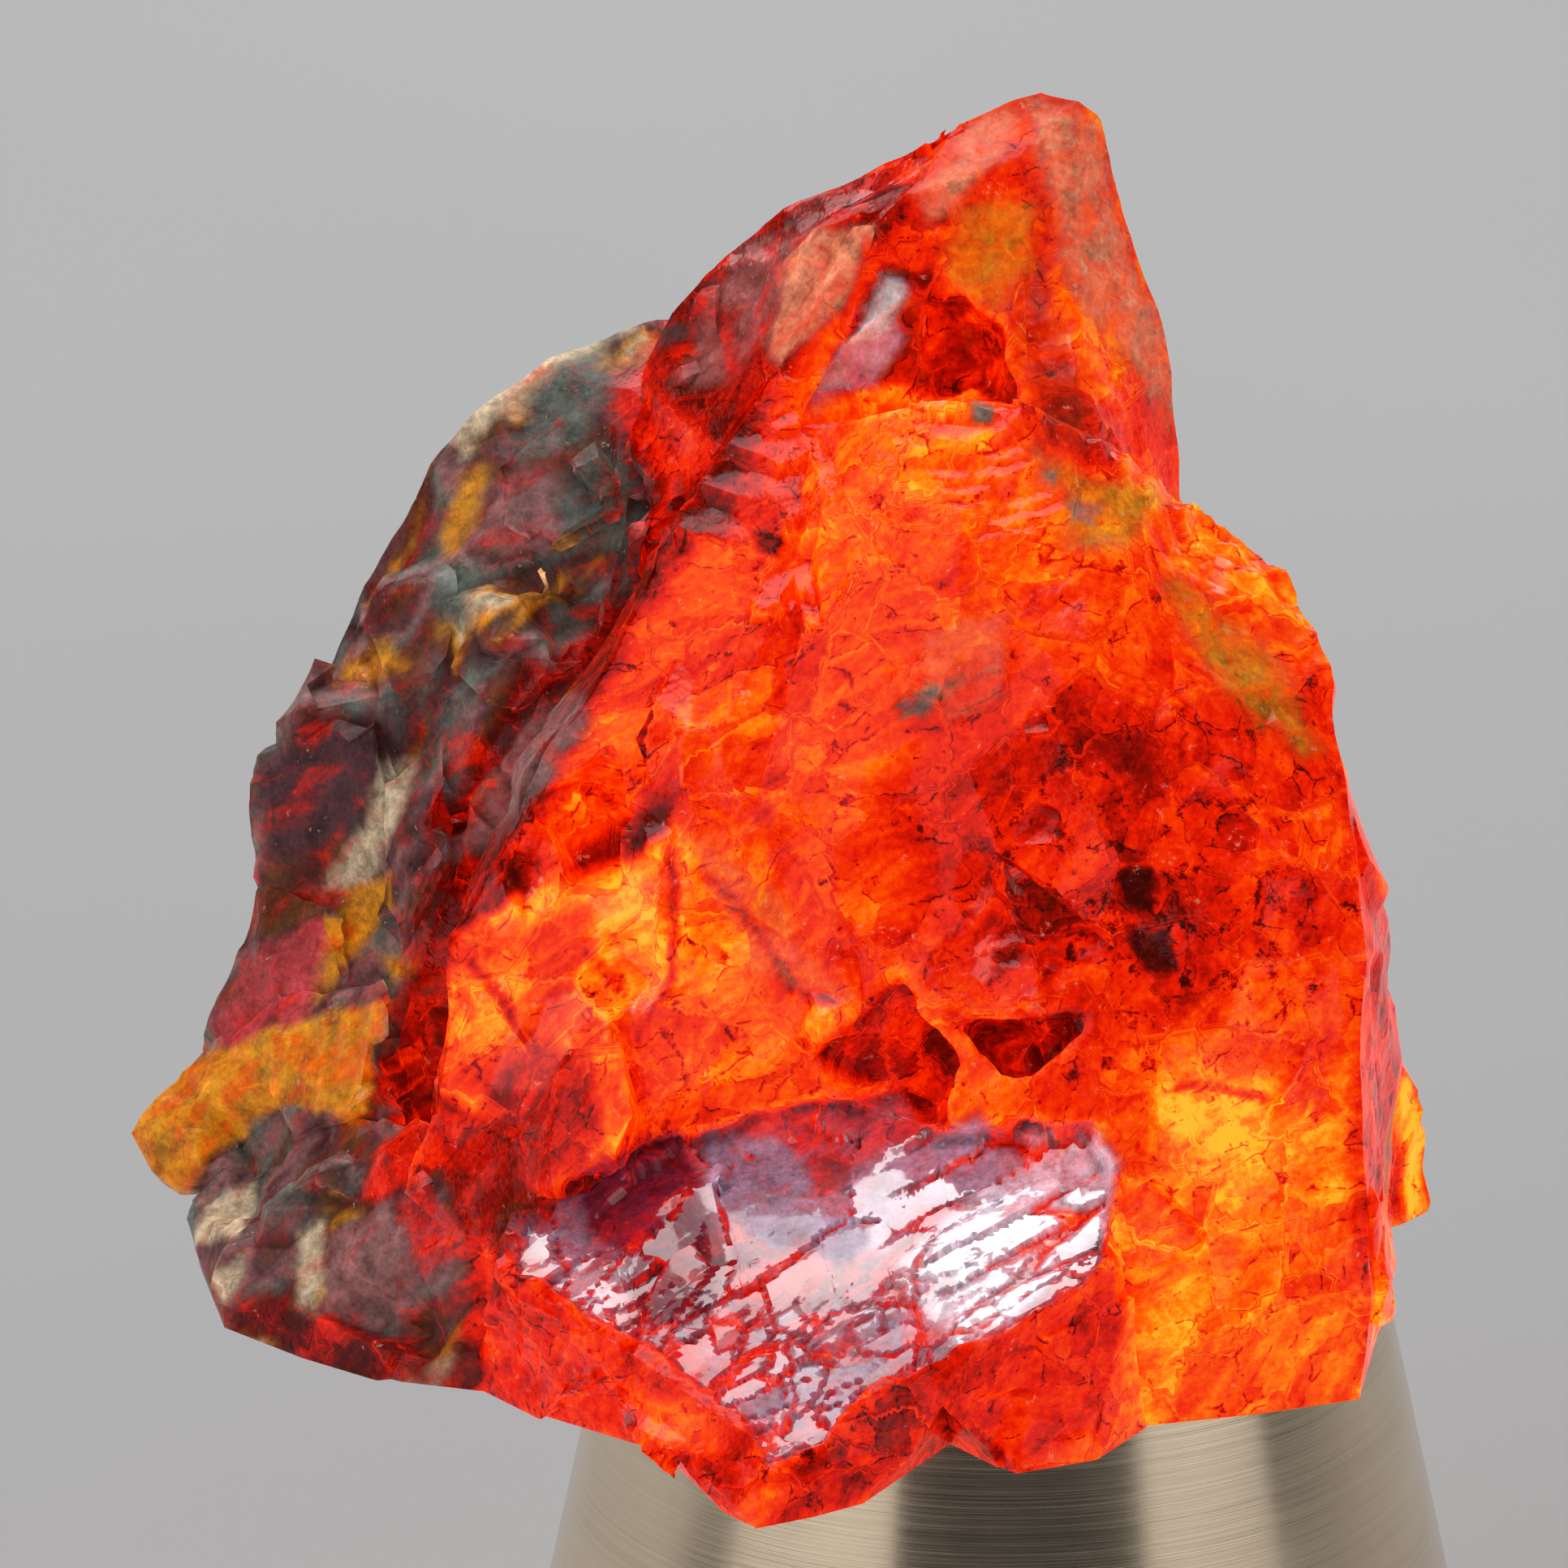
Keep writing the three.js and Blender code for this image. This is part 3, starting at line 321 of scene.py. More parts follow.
        (-22.0, 6.2)]),
    ("ochre_upper", 0.2, dict(skin=OCHRE), [
        (-19.2, 9.0), (-18.8, 10.6), (-17.6, 10.9), (-17.6, 10.0), (-18.3, 9.0), (-19.1, 7.7)]),
    ("ochre_chip", 0.2, dict(skin=OCHRE), [(-17.6, 8.6), (-16.6, 8.4), (-16.6, 8.1), (-17.3, 8.0)]),
    ("wedge", 0.2, dict(cover=0.85, glow=0.5, skin=OCHRE), [
        (-24.6, 3.6), (-23.4, 5.0), (-22.4, 5.9), (-20.8, 6.6), (-19.2, 7.3), (-18.5, 7.5), (-17.2, 7.5),
        (-17.3, 5.4), (-17.9, 4.2), (-18.8, 4.4), (-19.8, 4.5), (-21.1, 3.5), (-22.3, 2.8), (-22.7, 2.2)]),
    ("red_gap", 0.2, dict(cover=0.4, glow=0.35, skin=DARK_RED), [
        (-17.3, 5.1), (-16.7, 7.4), (-15.7, 7.9), (-15.9, 5.1), (-16.5, 4.7)]),
    ("red_knee", 0.25, dict(cover=0.1, glow=0.42, skin=RED), [
        (-17.9, 1.8), (-17.3, 3.6), (-15.7, 4.8), (-14.4, 4.3), (-13.5, 6.1), (-12.1, 6.6), (-11.1, 5.9),
        (-11.1, 3.6), (-12.1, 2.0), (-13.5, 1.8), (-14.4, 0.0), (-15.3, 2.7)]),
    ("mauve_facet", 0.15, dict(skin=MAUVE, shine=0.4), [
        (-18.8, -0.1), (-18.6, 0.9), (-17.3, 1.6), (-16.5, 0.9), (-16.2, -1.0), (-17.3, -1.6),
        (-18.5, -1.5)]),
    ("rose_facet", 0.15, dict(cover=0.6, glow=0.45, skin=ROSE), [
        (-17.0, 1.8), (-16.0, 2.5), (-15.6, 2.3), (-15.1, 1.0), (-16.2, -0.3), (-16.5, 0.7)]),
    ("glint_top", 0.15, dict(skin=CREAM, shine=0.5), [
        (-19.4, 0.9), (-18.8, 1.5), (-18.8, -1.6), (-19.4, -1.5)]),
    ("glint_left", 0.15, dict(skin=CREAM, shine=0.5), [
        (-22.1, 1.6), (-20.8, 2.2), (-21.1, 0.7), (-22.4, 0.7)]),
    ("glint_low", 0.15, dict(skin=CREAM, shine=0.5), [
        (-21.8, -0.6), (-20.8, 0.3), (-21.0, -0.4), (-21.5, -1.2)]),
    ("dark_foot", 0.3, dict(cover=0.5, glow=0.25, skin=DARK_RED), [
        (-21.8, -1.2), (-20.2, -1.0), (-15.9, -1.9), (-15.9, -3.0), (-17.6, -3.1), (-21.7, -1.8)]),
]

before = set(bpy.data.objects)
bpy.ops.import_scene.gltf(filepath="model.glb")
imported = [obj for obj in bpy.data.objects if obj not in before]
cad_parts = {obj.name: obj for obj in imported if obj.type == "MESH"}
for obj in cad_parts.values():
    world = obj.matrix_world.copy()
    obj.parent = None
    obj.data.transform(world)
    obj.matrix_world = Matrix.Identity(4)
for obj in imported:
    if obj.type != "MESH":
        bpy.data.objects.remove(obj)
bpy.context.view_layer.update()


# Noise

HASH_PRIMES = (73856093, 19349663, 83492791)
HASH_FACTORS = (2246822519, 3266489917)
HASH_START = (747796405, 2891336453)
FAR = 1e9


def hashed(cells, seed):
    """A number from 0 to 1 for each row of whole numbers."""
    with np.errstate(over="ignore"):
        h = np.full(len(cells), seed * HASH_START[0] + HASH_START[1], dtype=np.uint32)
        for k, prime in enumerate(HASH_PRIMES):
            h ^= cells[:, k].astype(np.int64).astype(np.uint32) * np.uint32(prime)
            h = (h ^ (h >> np.uint32(15))) * np.uint32(HASH_FACTORS[0])
            h = (h ^ (h >> np.uint32(13))) * np.uint32(HASH_FACTORS[1])
        h ^= h >> np.uint32(16)
    return h.astype(np.float64) / 2.0**32


def smooth_noise(points, size, seed):
    """Soft noise from -1 to 1 with features of about that size."""
    p = points / size
    cell = np.floor(p).astype(np.int64)
    f = p - cell
    f = f * f * (3 - 2 * f)
    total = np.zeros(len(p))
    for corner in np.ndindex(2, 2, 2):
        corner = np.array(corner)
        weight = np.prod(np.where(corner == 1, f, 1 - f), axis=1)
        total += weight * hashed(cell + corner, seed)
    return 2 * total - 1


def layered_noise(points, size, seed, layers=3):
    """Soft noise with finer and weaker layers on it, each half as large."""
    total, weight = np.zeros(len(points)), 0.0
    for k in range(layers):
        total += smooth_noise(points, size / 2**k, seed + 17 * k) / 2**k
        weight += 1 / 2**k
    return total / weight


def warp(points, size, amount, seed):
    """Points pushed about by soft noise."""
    return points + amount * np.stack([smooth_noise(points, size, seed + k) for k in range(3)], axis=1)


def scoops(points, size, seed):
    """Overlapping bowls round scattered centres: how far each point is up its bowl, and the bowl's number."""
    p = warp(points, size, 0.2 * size, seed + 5) / size
    base = np.floor(p).astype(np.int64)
    lowest = np.full(len(p), FAR)
    number = np.zeros(len(p))
    for step in np.ndindex(3, 3, 3):
        cell = base + np.array(step) - 1
        centre = cell + np.stack([hashed(cell, seed + k) for k in range(3)], axis=1)
        own = hashed(cell, seed + 3)
        height = ((p - centre) ** 2).sum(axis=1) - 0.35 * own
        lower = height < lowest
        lowest[lower] = height[lower]
        number[lower] = own[lower]
    return lowest, number


def smoothstep(low, high, value):
    """0 at low, 1 at high, and smooth between them. Low may be above high."""
    t = np.clip((value - low) / (high - low), 0, 1)
    return t * t * (3 - 2 * t)


# The crystal's directions

def unit(v):
    v = np.asarray(v, dtype=float)
    return v / np.linalg.norm(v)


def crystal_axes():
    """The four directions of the cleavage edges, and the normals of the six cleavage planes."""
    normal = unit(LEDGE_NORMAL)
    run = np.asarray(STEP_RUN)
    run = unit(run - normal * run.dot(normal))
    diagonals = [unit(d) for d in ((1, -1, 1), (1, -1, -1), (1, 1, 1), (1, 1, -1))]
    plane = unit((1, 1, 0))
    cube = np.stack([diagonals[0], np.cross(plane, diagonals[0]), plane], axis=1)
    placed = np.stack([run, np.cross(normal, run), normal], axis=1)
    turn = placed @ cube.T
    planes = [(1, 1, 0), (1, -1, 0), (1, 0, 1), (1, 0, -1), (0, 1, 1), (0, 1, -1)]
    return [turn @ d for d in diagonals], [turn @ unit(n) for n in planes]


EDGES, PLANES = crystal_axes()


def seen_flat(points):
    """Where points are in the front view: across and up, from the middle of the stand's top."""
    z = points[:, 2] - STONE_BASE_MM
    return np.stack([points[:, 0], z * EYE_COS + points[:, 1] * EYE_SIN], axis=1)


# The stone's mesh

def edges_of(faces):
    """The mesh's edges as pairs of vertices, and the edge on each side of each face."""
    pairs = np.sort(faces[:, [[0, 1], [1, 2], [2, 0]]].reshape(-1, 2), axis=1).astype(np.int64)
    most = pairs.max() + 1
    keys, edge_of = np.unique(pairs[:, 0] * most + pairs[:, 1], return_inverse=True)
    return np.stack([keys // most, keys % most], axis=1), edge_of.reshape(-1, 3)


def longest_allowed(points, faces, edges, edge_of):
    """How long each edge may stay. The flat underside and the back need less detail."""
    a, b, c = (points[faces[:, k]] for k in range(3))
    normals = np.cross(b - a, c - a)
    faces_eye = normals @ TOWARD_EYE > -0.05 * np.linalg.norm(normals, axis=1)
    in_front = np.zeros(len(edges), dtype=bool)
    in_front[edge_of[faces_eye]] = True
    middle = points[edges].mean(axis=1)
    across, up = seen_flat(middle).T
    (left, right), (low, high) = LEDGE_SEEN_MM
    on_ledge = (left < across) & (across < right) & (low < up) & (up < high)
    allowed = np.where(in_front, np.where(on_ledge, EDGE_LEDGE_MM, EDGE_FRONT_MM), EDGE_BACK_MM)
    underneath = points[edges][:, :, 2].max(axis=1) < STONE_BASE_MM + 0.01
    return np.where(underneath, np.inf, allowed)


def divided(faces, middle, length):
    """Faces cut in two at the middle of each split side, the longest side first.

    Middle is the new vertex on each side of each face, or -1 where the side stays whole.
    """
    length = np.where(middle >= 0, length, -1.0)
    while middle.max() >= 0:
        split = middle.max(axis=1) >= 0
        turn = (length[split].argmax(axis=1)[:, None] + np.arange(3)) % 3
        a, b, c = np.take_along_axis(faces[split], turn, axis=1).T
        new, middle_bc, middle_ca = np.take_along_axis(middle[split], turn, axis=1).T
        _, length_bc, length_ca = np.take_along_axis(length[split], turn, axis=1).T
        none = np.full(len(a), -1)
        whole = ~split
        faces = np.concatenate([faces[whole], np.stack([a, new, c], axis=1), np.stack([new, b, c], axis=1)])
        middle = np.concatenate([middle[whole], np.stack([none, none, middle_ca], axis=1),
                                 np.stack([none, middle_bc, none], axis=1)])
        length = np.concatenate([length[whole], np.stack([none, none, length_ca], axis=1),
                                 np.stack([none, length_bc, none], axis=1)])
    return faces


def fine_mesh(node):
    """The node's solid in millimetres, split finely, most of all where it faces the front."""
    bm = bmesh.new()
    bm.from_mesh(node.data)
    bm.transform(node.matrix_world)
    bmesh.ops.scale(bm, vec=(1 / MM,) * 3, verts=bm.verts[:])
    bmesh.ops.remove_doubles(bm, verts=bm.verts[:], dist=WELD_MM)
    bmesh.ops.triangulate(bm, faces=bm.faces[:])
    points = np.array([v.co[:] for v in bm.verts])
    faces = np.array([[v.index for v in f.verts] for f in bm.faces])
    bm.free()
    while True:
        edges, edge_of = edges_of(faces)
        length = np.linalg.norm(points[edges[:, 0]] - points[edges[:, 1]], axis=1)
        excess = (length / longest_allowed(points, faces, edges, edge_of))[edge_of]
        longest = excess.argmax(axis=1)
        rows = np.flatnonzero(excess.max(axis=1) > 1)
        if not len(rows):
            return points, faces, edges
        split = np.unique(edge_of[rows, longest[rows]])
        middle = np.full(len(edges), -1)
        middle[split] = len(points) + np.arange(len(split))
        points = np.concatenate([points, points[edges[split]].mean(axis=1)])
        faces = divided(faces, middle[edge_of], length[edge_of])


def normals_of(points, faces):
    """The normal at each vertex, from the faces round it by their size."""
    a, b, c = (points[faces[:, k]] for k in range(3))
    face_normals = np.cross(b - a, c - a)
    out = np.zeros_like(points)
    for k in range(3):
        for axis in range(3):
            out[:, axis] += np.bincount(faces[:, k], face_normals[:, axis], len(points))
    return out / np.maximum(np.linalg.norm(out, axis=1, keepdims=True), 1e-12)


def evened(values, edges, times):
    """Each vertex's values averaged with its neighbours', so many times."""
    values = values.reshape(len(values), -1).copy()
    count = len(values)
    share = np.bincount(edges[:, 0], minlength=count) + np.bincount(edges[:, 1], minlength=count)
    for _ in range(times):
        for k in range(values.shape[1]):
            total = np.bincount(edges[:, 0], values[edges[:, 1], k], count)
            total += np.bincount(edges[:, 1], values[edges[:, 0], k], count)
            values[:, k] = 0.5 * values[:, k] + 0.5 * total / np.maximum(share, 1)
    return values.squeeze()


# The stone's colours

def inside(outline, flat):
    """Signed distance from each flat point to an outline, positive inside it."""
    outline = np.asarray(outline)
    distance = np.full(len(flat), FAR)
    within = np.zeros(len(flat), dtype=bool)
    for a, b in zip(outline, np.roll(outline, -1, axis=0)):
        along = b - a
        t = np.clip(((flat - a) @ along) / (along @ along), 0, 1)
        distance = np.minimum(distance, np.linalg.norm(flat - a - t[:, None] * along, axis=1))
        crosses = (a[1] > flat[:, 1]) != (b[1] > flat[:, 1])
        with np.errstate(divide="ignore", invalid="ignore"):
            x = a[0] + (flat[:, 1] - a[1]) * along[0] / along[1]
        within ^= crosses & (flat[:, 0] < x)
    return np.where(within, distance, -distance)


def crust_skin(points):
    """Colour of the weathered skin: streaks that run up along the slope."""
    along = unit((0.5, 0.0, 0.87))
    across = unit(np.cross(along, (0, -1, 0)))
    bent = warp(points, 4.0, 1.2, 301)
    streak = np.stack([bent @ along / 3.2, bent @ across, bent[:, 1] / 1.6], axis=1)
    tone = 0.5 + 0.75 * layered_noise(streak, 1.9, 311, 4)
    stops = [stop for stop, _ in CRUST_STREAKS]
    channels = zip(*(colour for _, colour in CRUST_STREAKS))
    return np.stack([np.interp(tone, stops, channel) for channel in channels], axis=1)


def painted(points, normals):
    """The values that the stone's shape and material read, at each vertex."""
    flat = seen_flat(warp(warp(points, 2.6, 0.4, 201), 0.7, 0.16, 205))
    front = np.maximum(smoothstep(-0.45, -0.15, normals @ TOWARD_EYE), smoothstep(-2.0, -6.0, points[:, 1]))
    height = points[:, 2] - STONE_BASE_MM
    leaning = points[:, 0] - CRUST_LIMIT_MM - CRUST_LEAN * height + 2.0 * layered_noise(points, 6.0, 213)
    crusted = smoothstep(0.6, -0.6, leaning)
    # The glow is painted light. In front, light comes up through the middle, and the outer parts are a little
    # deeper in colour.
    glow_behind = (FOOT_GLOW - GLOW_LOSS * smoothstep(0, GLOW_LOSS_HEIGHT_MM, height)
                   + 0.2 * layered_noise(points, 8.0, 211))
    glow_in_front = FRONT_GLOW + 0.1 * layered_noise(points, 5.0, 219)
    layers = {name: np.zeros(len(points)) for name in ("shine", "carve", "soot", "shelf", "smooth")}
    layers["glow"] = glow_behind * (1 - front) + glow_in_front * front
    layers["glow"] = layers["glow"] * (1 - crusted) + CRUST_GLOW * crusted
    layers["cover"] = CRUST_COVER * crusted * (1 - front)
    layers["skin"] = crust_skin(points)
    for _, softness, values, outline in ZONES:
        mask = smoothstep(-softness, softness, inside(outline, flat)) * front
        for name, value in values.items():
            if name == "skin":
                layers[name] = layers[name] * (1 - mask)[:, None] + mask[:, None] * np.asarray(value)
            else:
                layers[name] = layers[name] * (1 - mask) + value * mask
    return layers


# The stone's relief

def stepped(points, normals, amount):
    """Breaks the surface into cleavage steps, along each cleavage direction where it lies near that plane."""
    facing = np.stack([normals @ n for n in PLANES], axis=1)
    family = np.abs(facing).argmax(axis=1)
    for k, plane in enumerate(PLANES):
        weight = smoothstep(0.82, 0.92, np.abs(facing[:, k])) * amount * (family == k)
        for height, seed in CLEAVAGE_STEPS:
            level = points @ plane + 0.7 * smooth_noise(points, 5.0, seed + k)
            part = level / height % 1
            shift = (smoothstep(0.36, 0.64, part) - part) * height
            points = points + (weight * shift)[:, None] * plane
    return points


def nearest_plate(points, size):
    """The rhombic plate that each point lies on, in the ledge's plane, with sides along two cleavage edges.

    Gives the plate's cell, how far the point is from the plate's middle, and how near the plate's side.
    """
    solve = np.linalg.inv(np.array([EDGES[0], EDGES[1], unit(LEDGE_NORMAL)]).T)
    bent = warp(points, 2.4, PLATE_BEND_MM, size.seed + 5)
    flat = (solve @ bent.T).T[:, :2] / (size.long, size.wide)
    base = np.floor(flat).astype(np.int64)
    nearest, second = np.full(len(flat), FAR), np.full(len(flat), FAR)
    plate = np.zeros((len(flat), 3), dtype=np.int64)
    offset = np.zeros((len(flat), 2))
    for step in np.ndindex(3, 3):
        cell = np.column_stack([base + np.array(step) - 1, np.zeros(len(flat), dtype=np.int64)])
        scatter = np.stack([hashed(cell, size.seed), hashed(cell, size.seed + 1)], axis=1)
        away = flat - (cell[:, :2] + 0.1 + 0.8 * scatter)
        distance = np.abs(away).max(axis=1) + 0.35 * np.abs(away).sum(axis=1)
        second = np.minimum(second, np.maximum(distance, nearest))
        closer = distance < nearest
        nearest[closer] = distance[closer]
        plate[closer] = cell[closer]
        offset[closer] = away[closer] * (size.long, size.wide)
    return plate, offset, (second - nearest) * min(size.long, size.wide)


def plated(points, amount):
    """The ledge's thin plates, each split off at its own depth and tilt, and finer toward the tip.

    Gives the moved points, how much each lies in a crack between plates, and how glossy its plate is.
    """
    across, up = seen_flat(points).T
    high = smoothstep(-2.0, 1.0, up + 0.8 * smooth_noise(points, 2.5, 61))
    right = smoothstep(-3.5, -1.5, across + 0.6 * smooth_noise(points, 2.5, 63))
    left = smoothstep(-7.5, -9.5, across + 0.5 * smooth_noise(points, 2.5, 65))
    shares = {"broad": 1 - 0.8 * right * high, "strips": high * right, "tilted": left,
              "small": 1 - 0.9 * high, "flakes": 1 - high}
    depth = np.zeros(len(points))
    crack = np.zeros(len(points))
    gloss = np.ones(len(points))
    for name, share in shares.items():
        size = LEDGE_PLATES[name]
        plate, offset, gap = nearest_plate(points, size)
        depth -= size.depth * hashed(plate, size.seed + 2) * share
        gloss *= 1 - 0.55 * hashed(plate, size.seed + 6) * share
        cracked = hashed(plate, size.seed + 5) > size.closed
        crack = np.maximum(crack, smoothstep(size.crack, 0.4 * size.crack, gap) * share * cracked)
        for k in range(2):
            depth += size.tilt * (hashed(plate, size.seed + 3 + k) - 0.5) * offset[:, k] * share
    depth -= PLATE_CRACK_DEPTH_MM * crack
    depth += PLATE_LEAN * np.clip(up - 1.0, 0, 4) ** 2
    return points + (amount * depth)[:, None] * unit(LEDGE_NORMAL), crack * amount, gloss


def laid_on_ledge(points, shelf):
    """Moves what hides the ledge's upper end back along the line of sight, on to the ledge's plane.

    Gives the moved points, and how much each belongs to the ledge.
    """
    normal = unit(LEDGE_NORMAL)
    above = (points - LEDGE_TIP_MM) @ normal
    on_ledge = shelf * smoothstep(LEDGE_REACH_MM, LEDGE_REACH_MM - 0.6, above)
    back = np.clip(above, 0, 4) / TOWARD_EYE.dot(normal) * on_ledge
    return points - back[:, None] * TOWARD_EYE, on_ledge * smoothstep(-0.9, -0.4, above)


def fractured(points, crust, clear):
    """Bowl-shaped fracture facets: how far each point rises, and what its facets do to the light.

    Busy patches and the weathered side have more of the small ones. The light of a facet is how much
    brighter it is, how far it turns the veils inside, and whether it glints.
    """
    busy = smoothstep(-0.15, 0.35, layered_noise(points, 6.5, 401))
    lift, brighter, turn, glint = (np.zeros(len(points)) for _ in range(4))
    for facets in FRACTURES:
        share = np.maximum(facets.calm + (1 - facets.calm) * busy, facets.on_crust * crust)
        bowl, number = scoops(points, facets.size, facets.seed)
        lift += facets.depth * (bowl - 0.15) * share
        brighter += (number - 0.5) * FACET_CONTRAST * share
        turn += number * facets.turn
        if facets.glints:
            glint = (number > 1 - GLINT_SHARE) * share * clear * (1 - crust)
    return lift, brighter, turn, glint


def stone_surface(node):
    """The stone's broken surface, and the layers that its material reads."""
    points, faces, edges = fine_mesh(node)
    normals = evened(normals_of(points, faces), edges, 3)
    normals /= np.linalg.norm(normals, axis=1, keepdims=True)
    layers = painted(points, normals)
    crust = layers["cover"]
    points, on_ledge = laid_on_ledge(points, layers["shelf"])
    layers["shine"] *= np.maximum(on_ledge, points[:, 2] > STONE_BASE_MM + 8)
    clear = (1 - on_ledge) * smoothstep(0.0, 1.2, points[:, 2] - STONE_BASE_MM)
    lift, brighter, layers["facet"], glint = fractured(points, crust, clear)
    layers["shine"] = np.maximum(layers["shine"], GLINT_SHINE * glint)

    points, crack, gloss = plated(points, on_ledge)
    layers["cover"] = layers["cover"] * (1 - crack)
    layers["shine"] = layers["shine"] * gloss * (1 - 0.8 * crack)
    layers["glow"] = layers["glow"] * (1 - crack) + CRACK_GLOW * crack

    patch = smoothstep(0.0, 0.3, layered_noise(points, 7.0, 5))
    steps = STEP_PART * patch * clear * (1 - 0.8 * crust) * (1 - layers["smooth"])
    points = stepped(points, normals, steps)
    points = points + (lift * clear - layers["carve"])[:, None] * normals
    points[:, 2] = np.maximum(points[:, 2], STONE_BASE_MM)

    # Ridges let more light through than hollows, and each facet shows another part of the inside.
    fresh = normals_of(points, faces)
    ridge = evened(((points - evened(points, edges, 2)) * fresh).sum(axis=1), edges, 1)
    layers["glow"] = layers["glow"] + brighter + np.clip(ridge * 3.0, -0.14, 0.12)
    # The skin is painted lighter on ridges and darker in hollows: painted highlights and painted shade.
    layers["skin"] = layers["skin"] * (1 + np.clip(ridge * 9.0, -0.6, 0.7))[:, None]
    return points, faces, layers


def mesh_object(name, points_mm, faces):
    mesh = bpy.data.meshes.new(name)
    mesh.from_pydata((points_mm * MM).tolist(), [], [list(f) for f in faces])
    mesh.update()
    obj = bpy.data.objects.new(name, mesh)
    bpy.context.scene.collection.objects.link(obj)
    return obj


def paint_layer(mesh, name, *channels):
    """Four numbers from 0 to 1 at each vertex, as a colour with alpha."""
    layer = mesh.color_attributes.new(name, "FLOAT_COLOR", "POINT")
    layer.data.foreach_set("color", np.clip(np.stack(channels, axis=1), 0, 1).astype(np.float32).ravel())


# Materials

def rgb(r, g, b):
    return (r, g, b, 1.0)


class Shader:
    """Builds one material's nodes. Inputs are numbers, colours or other nodes' outputs."""

    def __init__(self, name):
        self.material = bpy.data.materials.new(name)
        self.material.use_nodes = True
        self.tree = self.material.node_tree
        self.surface = self.tree.nodes["Principled BSDF"].inputs

    def node(self, kind, inputs=None, **settings):
        node = self.tree.nodes.new("ShaderNode" + kind)
        for key, value in settings.items():
            setattr(node, key, value)
        for key, value in (inputs or {}).items():
            self.set(node.inputs[key], value)
        return node

    def set(self, socket, value):
        if isinstance(value, bpy.types.NodeSocket):
            self.tree.links.new(value, socket)
        else:
            socket.default_value = value

    def finish(self, **inputs):
        """Sets the surface's inputs, each under its name with _ for a space."""
        for name, value in inputs.items():
            self.set(self.surface[name.replace("_", " ")], value)
        return self.material

    def math(self, operation, a, b=0.0, c=0.0, clamp=False):
        node = self.node("Math", operation=operation, use_clamp=clamp)
        for socket, value in zip(node.inputs, (a, b, c)):
            self.set(socket, value)
        return node.outputs[0]

    def vector(self, operation, a, b=(0, 0, 0), c=(0, 0, 0)):
        node = self.node("VectorMath", operation=operation)
        for socket, value in zip(node.inputs, (a, b, c)):
            self.set(socket, value)
        return node.outputs[0]

    def scaled(self, vector, amount):
        return self.node("VectorMath", {0: vector, "Scale": amount}, operation="SCALE").outputs[0]

    def between(self, value, low, high, out_low=0.0, out_high=1.0):
        """Value from low to high, made to run from out_low to out_high and held there."""
        return self.node("MapRange", {0: value, 1: low, 2: high, 3: out_low, 4: out_high}).outputs[0]

    def mix(self, amount, a, b):
        """The colour b over the colour a."""
        return self.node("Mix", {0: amount, 6: a, 7: b}, data_type="RGBA").outputs[2]

    def noise(self, vector, scale, detail=2.0, roughness=0.6, distortion=0.0, output="Fac"):
        node = self.node("TexNoise", {"Vector": vector, "Scale": scale, "Detail": detail,
                                      "Roughness": roughness, "Distortion": distortion})
        return node.outputs[output]

    def stretched(self, vector, scale, rotation=(0, 0, 0)):
        """The vector in turned axes, where features are that much longer along each axis."""
        inputs = {"Vector": vector, "Scale": scale, "Rotation": rotation}
        return self.node("Mapping", inputs, vector_type="TEXTURE").outputs[0]

    def ramp(self, value, *stops):
        node = self.node("ValToRGB", {"Fac": value})
        band = node.color_ramp
        band.elements[0].position, band.elements[0].color = stops[0][0], rgb(*stops[0][1])
        band.elements[1].position, band.elements[1].color = stops[-1][0], rgb(*stops[-1][1])
        for position, colour in stops[1:-1]:
            band.elements.new(position).color = rgb(*colour)
        return node.outputs["Color"]

    def millimetres(self):
        return self.vector("MULTIPLY", self.node("TexCoord").outputs["Object"], (1 / MM,) * 3)

    def bump(self, height, strength, distance_mm):
        inputs = {"Height": height, "Strength": strength, "Distance": distance_mm * MM}
        return self.node("Bump", inputs).outputs[0]

    def attribute(self, name):
        return self.node("Attribute", attribute_name=name).outputs

    def channels(self, colour):
        return self.node("SeparateColor", {0: colour}).outputs[:3]


